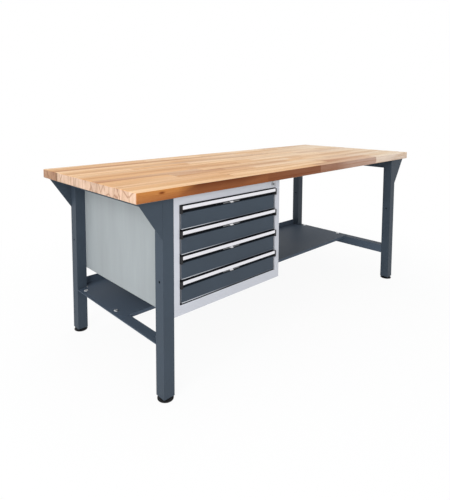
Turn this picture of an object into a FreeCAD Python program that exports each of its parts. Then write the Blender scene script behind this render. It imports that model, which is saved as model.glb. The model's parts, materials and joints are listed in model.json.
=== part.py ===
"""A workshop bench: a solid wood top on two welded end frames, with a cabinet of four drawers.

Millimetres. X runs along the bench to the right, Y to the rear, Z up.
The origin lies on the floor, under the middle of the worktop.
"""
import FreeCAD, Part
import os

import Sketcher

DRAWER_COUNT = 4

SIZES = (
    # worktop
    ("top_length", 2100), ("top_depth", 800), ("top_thickness", 40), ("bench_height", 820),
    ("top_edge_round", 2.5),
    # end frames
    ("end_overhang", 125), ("front_overhang", 20), ("leg_width", 50), ("leg_depth", 50),
    ("leg_wall", 3), ("leg_hole_height", 463), ("leg_hole_diameter", 10),
    ("gusset_end_gap", 20), ("gusset_drop", 156), ("gusset_nose", 6), ("gusset_thickness", 4),
    ("upper_rail_height", 55), ("upper_rail_wall", 3),
    ("lower_rail_level", 216), ("lower_rail_web", 50), ("lower_rail_wall", 3),
    ("rail_hole_margin", 40),
    # lower shelf and its bolts
    ("shelf_depth", 436), ("shelf_rear_inset", 8), ("shelf_sheet", 1.5), ("shelf_end_gap", 12),
    ("shelf_upstand", 38), ("shelf_lip", 14), ("shelf_side_gap", 3), ("shelf_lip_gap", 2),
    ("shelf_bolt_setback", 70), ("bolt_diameter", 8), ("bolt_clearance", 0.5),
    ("bolt_head_diameter", 20), ("bolt_head_height", 5), ("bolt_crown_diameter", 11),
    ("bolt_tip", 3), ("nut_across_flats", 13), ("nut_height", 6.5), ("nut_clearance", 0.1),
    # wood screws
    ("screw_diameter", 5), ("screw_cover", 15), ("screw_head_diameter", 10),
    ("screw_head_height", 3), ("screw_clearance", 0.2), ("rail_screw_margin", 90),
    ("cabinet_screw_inset", 22), ("cabinet_screw_margin", 60),
    # levelling feet
    ("foot_gap", 3), ("foot_pad_diameter", 64), ("foot_pad_height", 9),
    ("foot_rim_height", 4), ("foot_crown_diameter", 34), ("foot_stud_diameter", 12),
    ("foot_stud_length", 70), ("foot_insert_height", 14), ("foot_thread_clearance", 0.2),
    # cabinet
    ("cabinet_width", 620), ("cabinet_shelf_gap", 100.5), ("cabinet_rear_inset", 40),
    ("cabinet_sheet", 1.5), ("frame_depth", 18), ("frame_wall", 2), ("frame_return_gap", 0.6),
    ("stile_width", 27), ("frame_top_rail", 34), ("frame_bottom_rail", 40),
    ("post_gap", 4), ("post_depth", 30), ("post_wall", 2), ("post_step", 11),
    # runners
    ("runner_rear_gap", 56.5), ("runner_height", 35), ("runner_sheet", 1.5),
    ("runner_clearance", 0.3), ("runner_side_gap", 1), ("runner_rise", 10),
    # drawers
    ("tray_gap", 13), ("tray_sheet", 1.2), ("tray_top_gap", 13.5), ("tray_rise", 4),
    ("tray_lead", 2), ("tray_rear_gap", 82.5), ("front_gap_above", 4), ("front_gap_below", 1),
    ("front_side_gap", 10), ("front_sheet", 1.5), ("front_setback", 1),
    ("front_bead_height", 3), ("front_bead_proud", 1.5),
    ("handle_height", 29), ("handle_proud", 8), ("handle_wall", 2),
    ("handle_lip_height", 14), ("handle_lip_thickness", 2.5),
    ("cap_width", 9), ("cap_side_gap", 1.5), ("cap_round", 1.5),
    # drawer catches
    ("catch_width", 96), ("catch_bead_diameter", 4), ("catch_sheet", 1.5),
    ("catch_floor_gap", 3), ("catch_tab_width", 18), ("catch_tab_reach", 5),
    ("catch_clearance", 0.2), ("catch_swing_room", 0.95),
    ("knuckle_depth", 8), ("knuckle_height", 7), ("knuckle_end_wall", 2), ("knuckle_rear_gap", 4),
    # lock
    ("lock_side_inset", 48), ("lock_bezel_diameter", 22), ("lock_bezel_height", 3),
    ("lock_body_diameter", 18), ("lock_body_length", 8.5), ("lock_hole_clearance", 0.3),
    ("plug_diameter", 12), ("plug_clearance", 0.05), ("cam_gap", 0.3), ("cam_thickness", 2.5),
    ("cam_hub_diameter", 15), ("cam_floor_gap", 1), ("cam_arm_width", 8), ("cam_pin_diameter", 4),
    ("key_blade_width", 7), ("key_blade_thickness", 2), ("key_blade_length", 8),
    ("key_clearance", 0.1), ("key_neck", 1.5), ("key_bow_diameter", 14), ("key_bow_hole", 4),
    # locking bar behind the right stile
    ("bar_side_gap", 1.5), ("bar_thickness", 2.5), ("bar_gap", 0.3), ("bar_foot_gap", 4),
    ("bar_arm_margin", 3), ("bar_slot_slack_share", 0.24), ("bar_tab_height", 9),
    ("bar_tab_gap", 3), ("bar_tab_clearance", 1), ("ear_height", 12), ("ear_rise", 20),
    ("ear_gap", 2),
    # how far a cutting tool runs past the face that it cuts
    ("overrun", 2),
)

doc = FreeCAD.newDocument("Workbench")
sheet = doc.addObject("Spreadsheet::Sheet", "Sizes")
for row, (alias, value) in enumerate(SIZES, start=1):
    sheet.set(f"A{row}", alias)
    sheet.set(f"B{row}", str(value))
    sheet.setAlias(f"B{row}", alias)
doc.recompute()

# Places and sizes that several pieces share, as expressions of the sheet
half_length = "Sizes.top_length / 2"
half_depth = "Sizes.top_depth / 2"
underside = "(Sizes.bench_height - Sizes.top_thickness)"
leg_outer_x = "(Sizes.top_length / 2 - Sizes.end_overhang)"
leg_inner_x = f"({leg_outer_x} - Sizes.leg_width)"
leg_x = f"({leg_outer_x} - Sizes.leg_width / 2)"
leg_face_y = "(Sizes.top_depth / 2 - Sizes.front_overhang)"
leg_back_y = f"({leg_face_y} - Sizes.leg_depth)"
leg_y = f"({leg_face_y} - Sizes.leg_depth / 2)"
leg_z = "(Sizes.foot_pad_height + Sizes.foot_gap)"

shelf_rear_y = f"({leg_face_y} - Sizes.shelf_rear_inset)"
shelf_front_y = f"({shelf_rear_y} - Sizes.shelf_depth)"
shelf_top_z = "(Sizes.lower_rail_level + Sizes.shelf_sheet)"
rail_hole_y = f"({leg_back_y} - Sizes.rail_hole_margin)"
rail_hole_diameter = "(Sizes.bolt_diameter + 2 * Sizes.bolt_clearance)"
shelf_bolt_y = f"({shelf_front_y} + Sizes.shelf_bolt_setback)"
rail_screw_y = f"({leg_back_y} - Sizes.rail_screw_margin)"
screw_hole_diameter = "(Sizes.screw_diameter + 2 * Sizes.screw_clearance)"
screw_length = "(Sizes.top_thickness - Sizes.screw_cover)"

cabinet_x = f"(-{leg_inner_x})"
cabinet_right_x = f"({cabinet_x} + Sizes.cabinet_width)"
cabinet_mid_x = f"({cabinet_x} + Sizes.cabinet_width / 2)"
cabinet_z = f"({shelf_top_z} + Sizes.cabinet_shelf_gap)"
cabinet_height = f"({underside} - {cabinet_z})"
face_y = f"(-{leg_face_y})"
panel_y = f"({face_y} + Sizes.frame_depth)"
cabinet_rear_y = f"({leg_face_y} - Sizes.cabinet_rear_inset)"
opening_half_x = "(Sizes.cabinet_width / 2 - Sizes.stile_width)"
opening_z = f"({cabinet_z} + Sizes.frame_bottom_rail)"
opening_top_z = f"({underside} - Sizes.frame_top_rail)"
drawer_pitch = f"(({opening_top_z} - {opening_z}) / {DRAWER_COUNT})"
front_height = f"({drawer_pitch} - Sizes.front_gap_above - Sizes.front_gap_below)"
post_face_half_x = f"({opening_half_x} - Sizes.post_step)"
post_y = f"({panel_y} + Sizes.post_gap)"
runner_end_y = f"({cabinet_rear_y} - Sizes.cabinet_sheet - Sizes.runner_rear_gap)"
tray_half_x = f"({post_face_half_x} - Sizes.tray_gap)"
tray_y = f"({panel_y} - Sizes.tray_lead)"
tray_rear_y = f"({cabinet_rear_y} - Sizes.cabinet_sheet - Sizes.tray_rear_gap)"
tray_height = f"({drawer_pitch} - Sizes.tray_rise - Sizes.tray_top_gap)"
front_y = f"({face_y} + Sizes.front_setback)"
front_half_x = f"({opening_half_x} - Sizes.front_side_gap)"
handle_half_x = f"({opening_half_x} - Sizes.cap_side_gap - Sizes.cap_width)"
handle_lip_y = f"({face_y} - Sizes.handle_proud)"

lock_x = f"({cabinet_right_x} - Sizes.lock_side_inset)"
lock_z = f"({opening_top_z} + Sizes.frame_top_rail / 2)"
cam_throw = ("(Sizes.frame_top_rail / 2 - Sizes.frame_wall - Sizes.cam_floor_gap"
             " - Sizes.cam_arm_width / 2)")
cam_y = f"({face_y} + Sizes.lock_body_length + Sizes.cam_gap)"
bar_y = f"({cam_y} + Sizes.cam_thickness + Sizes.bar_gap)"
stile_x = f"({cabinet_right_x} - Sizes.stile_width + Sizes.frame_wall)"

SIDES = (("left", -1), ("right", 1))
ENDS = (("front", -1), ("rear", 1))
DRAWERS = range(1, DRAWER_COUNT + 1)
RAIL_STEPS = (-1, 0, 1)

nodes = {}


def number(expression):
    """The present value of an expression of the sheet."""
    return float(sheet.evalExpression(expression))


def keep(label, piece):
    """Give a finished piece its name and list it for writing."""
    piece.Label = label
    nodes[label] = piece
    return piece


def place(piece, x="0", y="0", z="0"):
    """Bind a piece's position to expressions."""
    for axis, expression in (("x", x), ("y", y), ("z", z)):
        piece.setExpression(f"Placement.Base.{axis}", expression)
    return piece


def new_body(name):
    return doc.addObject("PartDesign::Body", name)


def new_sketch(body, role):
    """An empty sketch on one of the body's own origin planes."""
    plane = next(item for item in body.Origin.OriginFeatures if item.Role == role)
    sketch = body.newObject("Sketcher::SketchObject", "Sketch")
    sketch.AttachmentSupport = [(plane, "")]
    sketch.MapMode = "FlatFace"
    return sketch


def fix_point(sketch, geometry, point, x, y):
    """Dimension a point of the sketch from the origin with two expressions."""
    for kind, expression in (("DistanceX", x), ("DistanceY", y)):
        rule = Sketcher.Constraint(kind, -1, 1, geometry, point, number(expression))
        index = sketch.addConstraint(rule)
        sketch.setExpression(f"Constraints[{index}]", expression)


def draw_outline(sketch, points):
    """A closed outline of straight lines through points given as expressions."""
    corners = [FreeCAD.Vector(number(x), number(y), 0) for x, y in points]
    first = sketch.GeometryCount
    count = len(corners)
    for index, corner in enumerate(corners):
        following = corners[(index + 1) % count]
        sketch.addGeometry(Part.LineSegment(corner, following), False)
    for index, (x, y) in enumerate(points):
        following = first + (index + 1) % count
        sketch.addConstraint(Sketcher.Constraint("Coincident", first + index, 2, following, 1))
        fix_point(sketch, first + index, 1, x, y)


def draw_rectangle(sketch, low_x, high_x, low_y, high_y):
    draw_outline(sketch, ((low_x, low_y), (high_x, low_y), (high_x, high_y), (low_x, high_y)))


def draw_circle(sketch, x, y, diameter):
    radius = f"({diameter}) / 2"
    centre = FreeCAD.Vector(number(x), number(y), 0)
    circle = Part.Circle(centre, FreeCAD.Vector(0, 0, 1), number(radius))
    geometry = sketch.addGeometry(circle, False)
    fix_point(sketch, geometry, 3, x, y)
    index = sketch.addConstraint(Sketcher.Constraint("Radius", geometry, number(radius)))
    sketch.setExpression(f"Constraints[{index}]", radius)


def pad(body, sketch, length, reverse=False):
    """Extrude a sketch along its normal, or against it."""
    feature = body.newObject("PartDesign::Pad", "Pad")
    feature.Profile = sketch
    feature.setExpression("Length", length)
    feature.Reversed = reverse
    return feature


def pocket(body, sketch, length, reverse=False, both_ways=False):
    """Cut a sketch into the body, and stop if nothing was cut."""
    doc.recompute()
    volume = body.Shape.Volume
    feature = body.newObject("PartDesign::Pocket", "Pocket")
    feature.Profile = sketch
    feature.setExpression("Length", length)
    feature.Reversed = reverse
    if both_ways:
        feature.SideType = "Symmetric"
    doc.recompute()
    if body.Shape.Volume >= volume:
        raise RuntimeError(f"a cut in {body.Name} removes nothing")
    return feature


def turn(name, role, points):
    """A body turned about its upright sketch axis, from an outline of radii and heights."""
    body = new_body(name)
    sketch = new_sketch(body, role)
    draw_outline(sketch, points)
    feature = body.newObject("PartDesign::Revolution", "Revolution")
    feature.Profile = sketch
    feature.ReferenceAxis = (sketch, ["V_Axis"])
    return body


def block(name, low, high):
    """A box between two corners given as expressions."""
    piece = doc.addObject("Part::Box", name)
    for side, start, end in zip(("Length", "Width", "Height"), low, high):
        piece.setExpression(side, f"({end}) - ({start})")
    return place(piece, *low)


AXIS_TURNS = {
    "x": FreeCAD.Rotation(FreeCAD.Vector(0, 1, 0), 90),
    "y": FreeCAD.Rotation(FreeCAD.Vector(1, 0, 0), -90),
    "z": FreeCAD.Rotation(),
}


def rod(name, axis, diameter, start, length):
    """A round bar along an axis, from the middle of its first end."""
    piece = doc.addObject("Part::Cylinder", name)
    piece.setExpression("Radius", f"({diameter}) / 2")
    piece.setExpression("Height", length)
    piece.Placement.Rotation = AXIS_TURNS[axis]
    return place(piece, *start)


def cut(name, base, tools):
    piece = doc.addObject("Part::Cut", name)
    piece.Base = base
    piece.Tool = tools[0] if len(tools) == 1 else group(f"{name}_tools", tools)
    return piece


def fuse(name, pieces):
    piece = doc.addObject("Part::MultiFuse", name)
    piece.Shapes = pieces
    return piece


def group(name, pieces):
    piece = doc.addObject("Part::Compound", name)
    piece.Links = pieces
    return piece


def rail_screw_places():
    """Where the upper rails are screwed to the worktop."""
    return [(f"{side} * {leg_x}", f"{step} * {rail_screw_y}")
            for name, side in SIDES for step in RAIL_STEPS]


def cabinet_screw_places():
    """Where the cabinet's top sheet is screwed to the worktop."""
    half = f"({post_face_half_x} - Sizes.cabinet_screw_inset)"
    margin = "Sizes.cabinet_screw_margin"
    rows = (f"{panel_y} + {margin}", f"{cabinet_rear_y} - {margin}")
    return [(f"{cabinet_mid_x} + {side} * {half}", y) for name, side in SIDES for y in rows]


def drawer_floor(index):
    """Height of the lower edge of a drawer's front, counted from the top drawer."""
    return f"({opening_top_z} - {index} * {drawer_pitch} + Sizes.front_gap_below)"


def make_worktop():
    body = new_body("worktop")
    plan = new_sketch(body, "XY_Plane")
    draw_rectangle(plan, f"-{half_length}", half_length, f"-{half_depth}", half_depth)
    slab = pad(body, plan, "Sizes.top_thickness")
    doc.recompute()
    rounding = body.newObject("PartDesign::Fillet", "EdgeRound")
    rounding.Base = (slab, [f"Edge{index}" for index in range(1, len(slab.Shape.Edges) + 1)])
    rounding.setExpression("Radius", "Sizes.top_edge_round")
    pilots = new_sketch(body, "XY_Plane")
    for x, y in rail_screw_places() + cabinet_screw_places():
        draw_circle(pilots, x, y, screw_hole_diameter)
    pocket(body, pilots, f"{screw_length} + Sizes.screw_clearance", reverse=True)
    place(body, z=underside)
    keep("worktop", body)


def make_leg(label, side, end):
    """A square tube with a hole through its two side faces."""
    body = new_body(label)
    section = new_sketch(body, "XY_Plane")
    half_width, half_thick = "Sizes.leg_width / 2", "Sizes.leg_depth / 2"
    draw_rectangle(section, f"-{half_width}", half_width, f"-{half_thick}", half_thick)
    bore_x = f"({half_width} - Sizes.leg_wall)"
    bore_y = f"({half_thick} - Sizes.leg_wall)"
    draw_rectangle(section, f"-{bore_x}", bore_x, f"-{bore_y}", bore_y)
    pad(body, section, f"{underside} - {leg_z}")
    hole = new_sketch(body, "YZ_Plane")
    draw_circle(hole, "0", f"Sizes.leg_hole_height - {leg_z}", "Sizes.leg_hole_diameter")
    pocket(body, hole, "Sizes.leg_width + 2 * Sizes.overrun", both_ways=True)
    place(body, f"{side} * {leg_x}", f"{end} * {leg_y}", leg_z)
    keep(label, body)


def make_gusset(name, side, end):
    """A plate flush with a leg's outer face, flaring out under the worktop."""
    body = new_body(name)
    face = new_sketch(body, "XZ_Plane")
    reach = f"{side} * (Sizes.end_overhang - Sizes.gusset_end_gap)"
    draw_outline(face, (("0", "0"), (reach, "0"), (reach, "-Sizes.gusset_nose"),
                        ("0", "-Sizes.gusset_drop")))
    pad(body, face, "Sizes.gusset_thickness", reverse=end < 0)
    return place(body, f"{side} * {leg_outer_x}", f"{end} * {leg_face_y}", underside)


def make_upper_rail(label, side):
    """A channel that opens downwards, welded between the front and rear legs."""
    body = new_body(label)
    section = new_sketch(body, "XZ_Plane")
    outer = "Sizes.leg_width / 2"
    inner = f"({outer} - Sizes.upper_rail_wall)"
    low, web = "-Sizes.upper_rail_height", "-Sizes.upper_rail_wall"
    draw_outline(section, ((f"-{outer}", "0"), (f"-{outer}", low), (f"-{inner}", low),
                           (f"-{inner}", web), (inner, web), (inner, low),
                           (outer, low), (outer, "0")))
    pad(body, section, f"2 * {leg_back_y}")
    holes = new_sketch(body, "XY_Plane")
    for step in RAIL_STEPS:
        draw_circle(holes, "0", f"{step} * {rail_screw_y} - {leg_back_y}", screw_hole_diameter)
    pocket(body, holes, "Sizes.upper_rail_wall + Sizes.overrun")
    place(body, f"{side} * {leg_x}", leg_back_y, underside)
    keep(label, body)


def rail_hole_places():
    """Holes along a lower rail: a spare one in front and two under the shelf."""
    return (f"-{rail_hole_y}", shelf_bolt_y, rail_hole_y)


def make_lower_rail(label, side):
    """An angle with its web on the inner side and its flange between the legs."""
    body = new_body(label)
    section = new_sketch(body, "XZ_Plane")
    wide, wall = f"{side} * Sizes.leg_width", f"{side} * Sizes.lower_rail_wall"
    low, flange = "-Sizes.lower_rail_web", "-Sizes.lower_rail_wall"
    draw_outline(section, (("0", "0"), (wide, "0"), (wide, flange), (wall, flange),
                           (wall, low), ("0", low)))
    pad(body, section, f"2 * {leg_back_y}")
    holes = new_sketch(body, "XY_Plane")
    for y in rail_hole_places():
        draw_circle(holes, f"{side} * Sizes.leg_width / 2", f"{y} - {leg_back_y}",
                    rail_hole_diameter)
    pocket(body, holes, "Sizes.lower_rail_wall + Sizes.overrun")
    place(body, f"{side} * {leg_inner_x}", leg_back_y, "Sizes.lower_rail_level")
    keep(label, body)


def make_shelf():
    """A folded sheet on the lower rails, notched round the rear legs."""
    body = new_body("lower_shelf")
    plan = new_sketch(body, "XY_Plane")
    wide = f"({leg_outer_x} - Sizes.shelf_end_gap)"
    narrow = f"({leg_inner_x} - Sizes.shelf_side_gap)"
    notch_y = f"({leg_back_y} - Sizes.shelf_side_gap)"
    draw_outline(plan, ((f"-{wide}", shelf_front_y), (wide, shelf_front_y), (wide, notch_y),
                        (narrow, notch_y), (narrow, shelf_rear_y), (f"-{narrow}", shelf_rear_y),
                        (f"-{narrow}", notch_y), (f"-{wide}", notch_y)))
    pad(body, plan, "Sizes.shelf_sheet")
    upstand = new_sketch(body, "XY_Plane")
    draw_rectangle(upstand, f"-{narrow}", narrow,
                   f"{shelf_rear_y} - Sizes.shelf_sheet", shelf_rear_y)
    pad(body, upstand, "Sizes.shelf_upstand")
    lip = new_sketch(body, "XY_Plane")
    lip_x = f"({leg_inner_x} - Sizes.shelf_lip_gap)"
    draw_rectangle(lip, f"-{lip_x}", lip_x, shelf_front_y,
                   f"{shelf_front_y} + Sizes.shelf_sheet")
    pad(body, lip, "Sizes.shelf_lip", reverse=True)
    holes = new_sketch(body, "XY_Plane")
    for name, side in SIDES:
        for y in rail_hole_places()[1:]:
            draw_circle(holes, f"{side} * {leg_x}", y, rail_hole_diameter)
    pocket(body, holes, "Sizes.shelf_sheet + Sizes.overrun", reverse=True)
    place(body, z="Sizes.lower_rail_level")
    keep("lower_shelf", body)


def make_shelf_bolt(name):
    """A round-headed bolt, its origin at the underside of the head."""
    shank = "Sizes.bolt_diameter / 2"
    tip = "-(Sizes.shelf_sheet + Sizes.lower_rail_wall + Sizes.nut_height + Sizes.bolt_tip)"
    return turn(name, "XZ_Plane", (
        ("0", tip), (shank, tip), (shank, "0"), ("Sizes.bolt_head_diameter / 2", "0"),
        ("Sizes.bolt_crown_diameter / 2", "Sizes.bolt_head_height"),
        ("0", "Sizes.bolt_head_height")))


def make_nut(name):
    """A hexagon nut, its origin at the middle of its upper face."""
    body = new_body(name)
    section = new_sketch(body, "XY_Plane")
    corner = "(Sizes.nut_across_flats / sqrt(3))"
    points = [(f"{corner} * cos({60 * step})", f"{corner} * sin({60 * step})")
              for step in range(6)]
    draw_outline(section, points)
    draw_circle(section, "0", "0", "Sizes.bolt_diameter + 2 * Sizes.nut_clearance")
    pad(body, section, "Sizes.nut_height", reverse=True)
    return body


def make_shelf_bolts():
    pieces = []
    flange_low = "Sizes.lower_rail_level - Sizes.lower_rail_wall"
    for name, side in SIDES:
        for index, y in enumerate(rail_hole_places()[1:], start=1):
            x = f"{side} * {leg_x}"
            bolt = make_shelf_bolt(f"shelf_bolt_{name}_{index}")
            pieces.append(place(bolt, x, y, shelf_top_z))
            nut = make_nut(f"shelf_nut_{name}_{index}")
            pieces.append(place(nut, x, y, flange_low))
    keep("shelf_bolts", group("shelf_bolts", pieces))


def make_worktop_screws():
    """Round-headed wood screws, up through the rails and the cabinet top into the wood."""
    shank, head = "Sizes.screw_diameter / 2", "Sizes.screw_head_diameter / 2"
    pieces = []
    seats = [(x, y, "Sizes.upper_rail_wall") for x, y in rail_screw_places()]
    seats += [(x, y, "Sizes.cabinet_sheet") for x, y in cabinet_screw_places()]
    for index, (x, y, sheet_thickness) in enumerate(seats, start=1):
        tip = f"({sheet_thickness} + {screw_length})"
        screw = turn(f"worktop_screw_{index}", "XZ_Plane", (
            ("0", "-Sizes.screw_head_height"), (head, "-Sizes.screw_head_height"),
            (head, "0"), (shank, "0"), (shank, f"{tip} - Sizes.screw_diameter"), ("0", tip)))
        pieces.append(place(screw, x, y, f"{underside} - {sheet_thickness}"))
    keep("worktop_screws", group("worktop_screws", pieces))


def make_foot(label, side, end):
    """A levelling foot: a moulded pad under a threaded stud."""
    rim, crown = "Sizes.foot_pad_diameter / 2", "Sizes.foot_crown_diameter / 2"
    moulding = turn(f"{label}_pad", "XZ_Plane", (
        ("0", "0"), (rim, "0"), (rim, "Sizes.foot_rim_height"),
        (crown, "Sizes.foot_pad_height"), ("0", "Sizes.foot_pad_height")))
    x, y = f"{side} * {leg_x}", f"{end} * {leg_y}"
    place(moulding, x, y)
    stud = rod(f"{label}_stud", "z", "Sizes.foot_stud_diameter",
               (x, y, "Sizes.foot_pad_height"), "Sizes.foot_stud_length")
    keep(label, group(label, [moulding, stud]))


def make_foot_insert(name, side, end):
    """A threaded plug that closes the lower end of a leg."""
    x, y = f"{side} * {leg_x}", f"{end} * {leg_y}"
    half_x = "(Sizes.leg_width / 2 - Sizes.leg_wall)"
    half_y = "(Sizes.leg_depth / 2 - Sizes.leg_wall)"
    plug = block(f"{name}_plug", (f"{x} - {half_x}", f"{y} - {half_y}", leg_z),
                 (f"{x} + {half_x}", f"{y} + {half_y}", f"{leg_z} + Sizes.foot_insert_height"))
    bore = rod(f"{name}_bore", "z", "Sizes.foot_stud_diameter + 2 * Sizes.foot_thread_clearance",
               (x, y, f"{leg_z} - Sizes.overrun"),
               "Sizes.foot_insert_height + 2 * Sizes.overrun")
    return cut(name, plug, [bore])


def make_cabinet_panels():
    """The five sheets of the cabinet's case, which stand behind the face frame."""
    thick = "Sizes.cabinet_sheet"
    left, right = f"({cabinet_x} + {thick})", f"({cabinet_right_x} - {thick})"
    floor, roof = f"({cabinet_z} + {thick})", f"({underside} - {thick})"
    rear = f"({cabinet_rear_y} - {thick})"
    keep("cabinet_left_side", block("cabinet_left_side", (cabinet_x, panel_y, cabinet_z),
                                    (left, cabinet_rear_y, underside)))
    keep("cabinet_right_side", block("cabinet_right_side", (right, panel_y, cabinet_z),
                                     (cabinet_right_x, cabinet_rear_y, underside)))
    keep("cabinet_back", block("cabinet_back", (left, rear, floor), (right, cabinet_rear_y, roof)))
    keep("cabinet_bottom", block("cabinet_bottom", (left, panel_y, cabinet_z),
                                 (right, cabinet_rear_y, floor)))
    cover = block("cabinet_top_sheet", (left, panel_y, roof), (right, cabinet_rear_y, underside))
    holes = [rod(f"cabinet_top_hole_{index}", "z", screw_hole_diameter,
                 (x, y, f"{roof} - Sizes.overrun"), f"{thick} + 2 * Sizes.overrun")
             for index, (x, y) in enumerate(cabinet_screw_places(), start=1)]
    keep("cabinet_top", cut("cabinet_top", cover, holes))


def make_face_frame():
    """A folded ring round the drawers, with a hole for the lock in its top rail."""
    body = new_body("cabinet_face_frame")
    half, tall, wall = "(Sizes.cabinet_width / 2)", cabinet_height, "Sizes.frame_wall"
    low = "Sizes.frame_bottom_rail"
    high = f"({tall} - Sizes.frame_top_rail)"
    opening = (f"-{opening_half_x}", opening_half_x, low, high)
    plate = new_sketch(body, "XZ_Plane")
    draw_rectangle(plate, f"-{half}", half, "0", tall)
    draw_rectangle(plate, *opening)
    pad(body, plate, wall, reverse=True)
    rim = new_sketch(body, "XZ_Plane")
    draw_rectangle(rim, f"-{half}", half, "0", tall)
    draw_rectangle(rim, f"{wall} - {half}", f"{half} - {wall}", wall, f"{tall} - {wall}")
    pad(body, rim, "Sizes.frame_depth", reverse=True)
    fold = new_sketch(body, "XZ_Plane")
    draw_rectangle(fold, f"-{opening_half_x} - {wall}", f"{opening_half_x} + {wall}",
                   f"{low} - {wall}", f"{high} + {wall}")
    draw_rectangle(fold, *opening)
    pad(body, fold, f"{bar_y} - Sizes.frame_return_gap - {face_y}", reverse=True)
    hole = new_sketch(body, "XZ_Plane")
    draw_circle(hole, f"{half} - Sizes.lock_side_inset", f"{high} + Sizes.frame_top_rail / 2",
                "Sizes.lock_body_diameter + 2 * Sizes.lock_hole_clearance")
    pocket(body, hole, f"2 * ({wall} + Sizes.overrun)", both_ways=True)
    place(body, cabinet_mid_x, face_y, cabinet_z)
    keep("cabinet_face_frame", body)


def make_runner_post(name, side, low_y):
    """An upright channel on the cabinet's side that carries the runners."""
    body = new_body(name)
    section = new_sketch(body, "XY_Plane")
    outer = "(Sizes.cabinet_width / 2 - Sizes.cabinet_sheet)"
    inner, wall = post_face_half_x, "Sizes.post_wall"
    points = ((outer, "0"), (inner, "0"), (inner, "Sizes.post_depth"),
              (outer, "Sizes.post_depth"), (outer, f"Sizes.post_depth - {wall}"),
              (f"{inner} + {wall}", f"Sizes.post_depth - {wall}"),
              (f"{inner} + {wall}", wall), (outer, wall))
    draw_outline(section, [(f"{side} * ({x})", y) for x, y in points])
    pad(body, section, f"{cabinet_height} - 2 * Sizes.cabinet_sheet")
    return place(body, cabinet_mid_x, low_y, f"{cabinet_z} + Sizes.cabinet_sheet")


def make_runner_posts():
    rear_y = f"({runner_end_y} - Sizes.post_depth)"
    pieces = [make_runner_post(f"{name}_{end}_post", side, low_y)
              for name, side in SIDES for end, low_y in (("front", post_y), ("rear", rear_y))]
    keep("runner_posts", group("runner_posts", pieces))


def runner_z(index):
    """Height of the middle of a drawer's runners."""
    rise = "Sizes.tray_rise + Sizes.runner_rise + Sizes.runner_height / 2"
    return f"({drawer_floor(index)} + {rise})"


def make_channel(name, side, near, far, height, index):
    """A runner member: a channel with its web at near and its flanges reaching to far."""
    body = new_body(name)
    section = new_sketch(body, "XZ_Plane")
    out = f"({height}) / 2"
    wall = "Sizes.runner_sheet"
    web = f"(({near}) + ({far} > {near} ? {wall} : -{wall}))"
    points = ((near, f"-{out}"), (far, f"-{out}"), (far, f"{wall} - {out}"),
              (web, f"{wall} - {out}"), (web, f"{out} - {wall}"), (far, f"{out} - {wall}"),
              (far, out), (near, out))
    draw_outline(section, [(f"{side} * ({x})", y) for x, y in points])
    pad(body, section, f"{runner_end_y} - {post_y}")
    return place(body, cabinet_mid_x, runner_end_y, runner_z(index))


# Runner members lie inside each other, each with the running clearance all round
runner_step = "(Sizes.runner_sheet + Sizes.runner_clearance)"
runner_mouth = f"({tray_half_x} + Sizes.runner_side_gap)"
middle_height = f"(Sizes.runner_height - 2 * {runner_step})"
inner_height = f"(Sizes.runner_height - 4 * {runner_step})"


def make_cabinet_runners():
    pieces = [make_channel(f"{name}_cabinet_member_{index}", side, post_face_half_x, runner_mouth,
                           "Sizes.runner_height", index)
              for index in DRAWERS for name, side in SIDES]
    keep("cabinet_runners", group("cabinet_runners", pieces))


def make_middle_runners(index):
    label = f"drawer_{index}_middle_runners"
    pieces = [make_channel(f"{label}_{name}", side, f"{post_face_half_x} - {runner_step}",
                           runner_mouth, middle_height, index)
              for name, side in SIDES]
    keep(label, group(label, pieces))


def make_inner_runners(index):
    label = f"drawer_{index}_runners"
    pieces = [make_channel(f"{label}_{name}", side, tray_half_x,
                           f"{post_face_half_x} - 2 * {runner_step}", inner_height, index)
              for name, side in SIDES]
    keep(label, group(label, pieces))


def make_tray(index):
    """An open sheet box, with an ear on its right that the locking bar can stop."""
    label = f"drawer_{index}_tray"
    thick = "Sizes.tray_sheet"
    floor = f"({drawer_floor(index)} + Sizes.tray_rise)"
    left, right = f"({cabinet_mid_x} - {tray_half_x})", f"({cabinet_mid_x} + {tray_half_x})"
    shell = block(f"{label}_shell", (left, tray_y, floor),
                  (right, tray_rear_y, f"{floor} + {tray_height}"))
    space = block(f"{label}_space",
                  (f"{left} + {thick}", f"{tray_y} + {thick}", f"{floor} + {thick}"),
                  (f"{right} - {thick}", f"{tray_rear_y} - {thick}",
                   f"{floor} + {tray_height} + Sizes.overrun"))
    ear_low = f"({drawer_floor(index)} + Sizes.ear_rise)"
    ear_x = f"({cabinet_mid_x} + {opening_half_x} - Sizes.ear_gap)"
    ear = block(f"{label}_ear", (f"{right} - {thick}", tray_y, ear_low),
                (ear_x, f"{tray_y} + {thick}", f"{ear_low} + Sizes.ear_height"))
    keep(label, fuse(label, [cut(f"{label}_box", shell, [space]), ear]))


def make_front(index):
    """A folded pan, open to the rear, with a bead along its lower edge."""
    label = f"drawer_{index}_front"
    thick = "Sizes.front_sheet"
    low = drawer_floor(index)
    high = f"({low} + {front_height} - Sizes.handle_height)"
    left, right = f"({cabinet_mid_x} - {front_half_x})", f"({cabinet_mid_x} + {front_half_x})"
    outside = block(f"{label}_outside", (left, front_y, low), (right, tray_y, high))
    inside = block(f"{label}_inside",
                   (f"{left} + {thick}", f"{front_y} + {thick}", f"{low} + {thick}"),
                   (f"{right} - {thick}", f"{tray_y} + Sizes.overrun", f"{high} - {thick}"))
    bead = block(f"{label}_bead", (left, f"{front_y} - Sizes.front_bead_proud", low),
                 (right, f"{front_y} + {thick}", f"{low} + Sizes.front_bead_height"))
    keep(label, fuse(label, [cut(f"{label}_pan", outside, [inside]), bead]))


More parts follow.
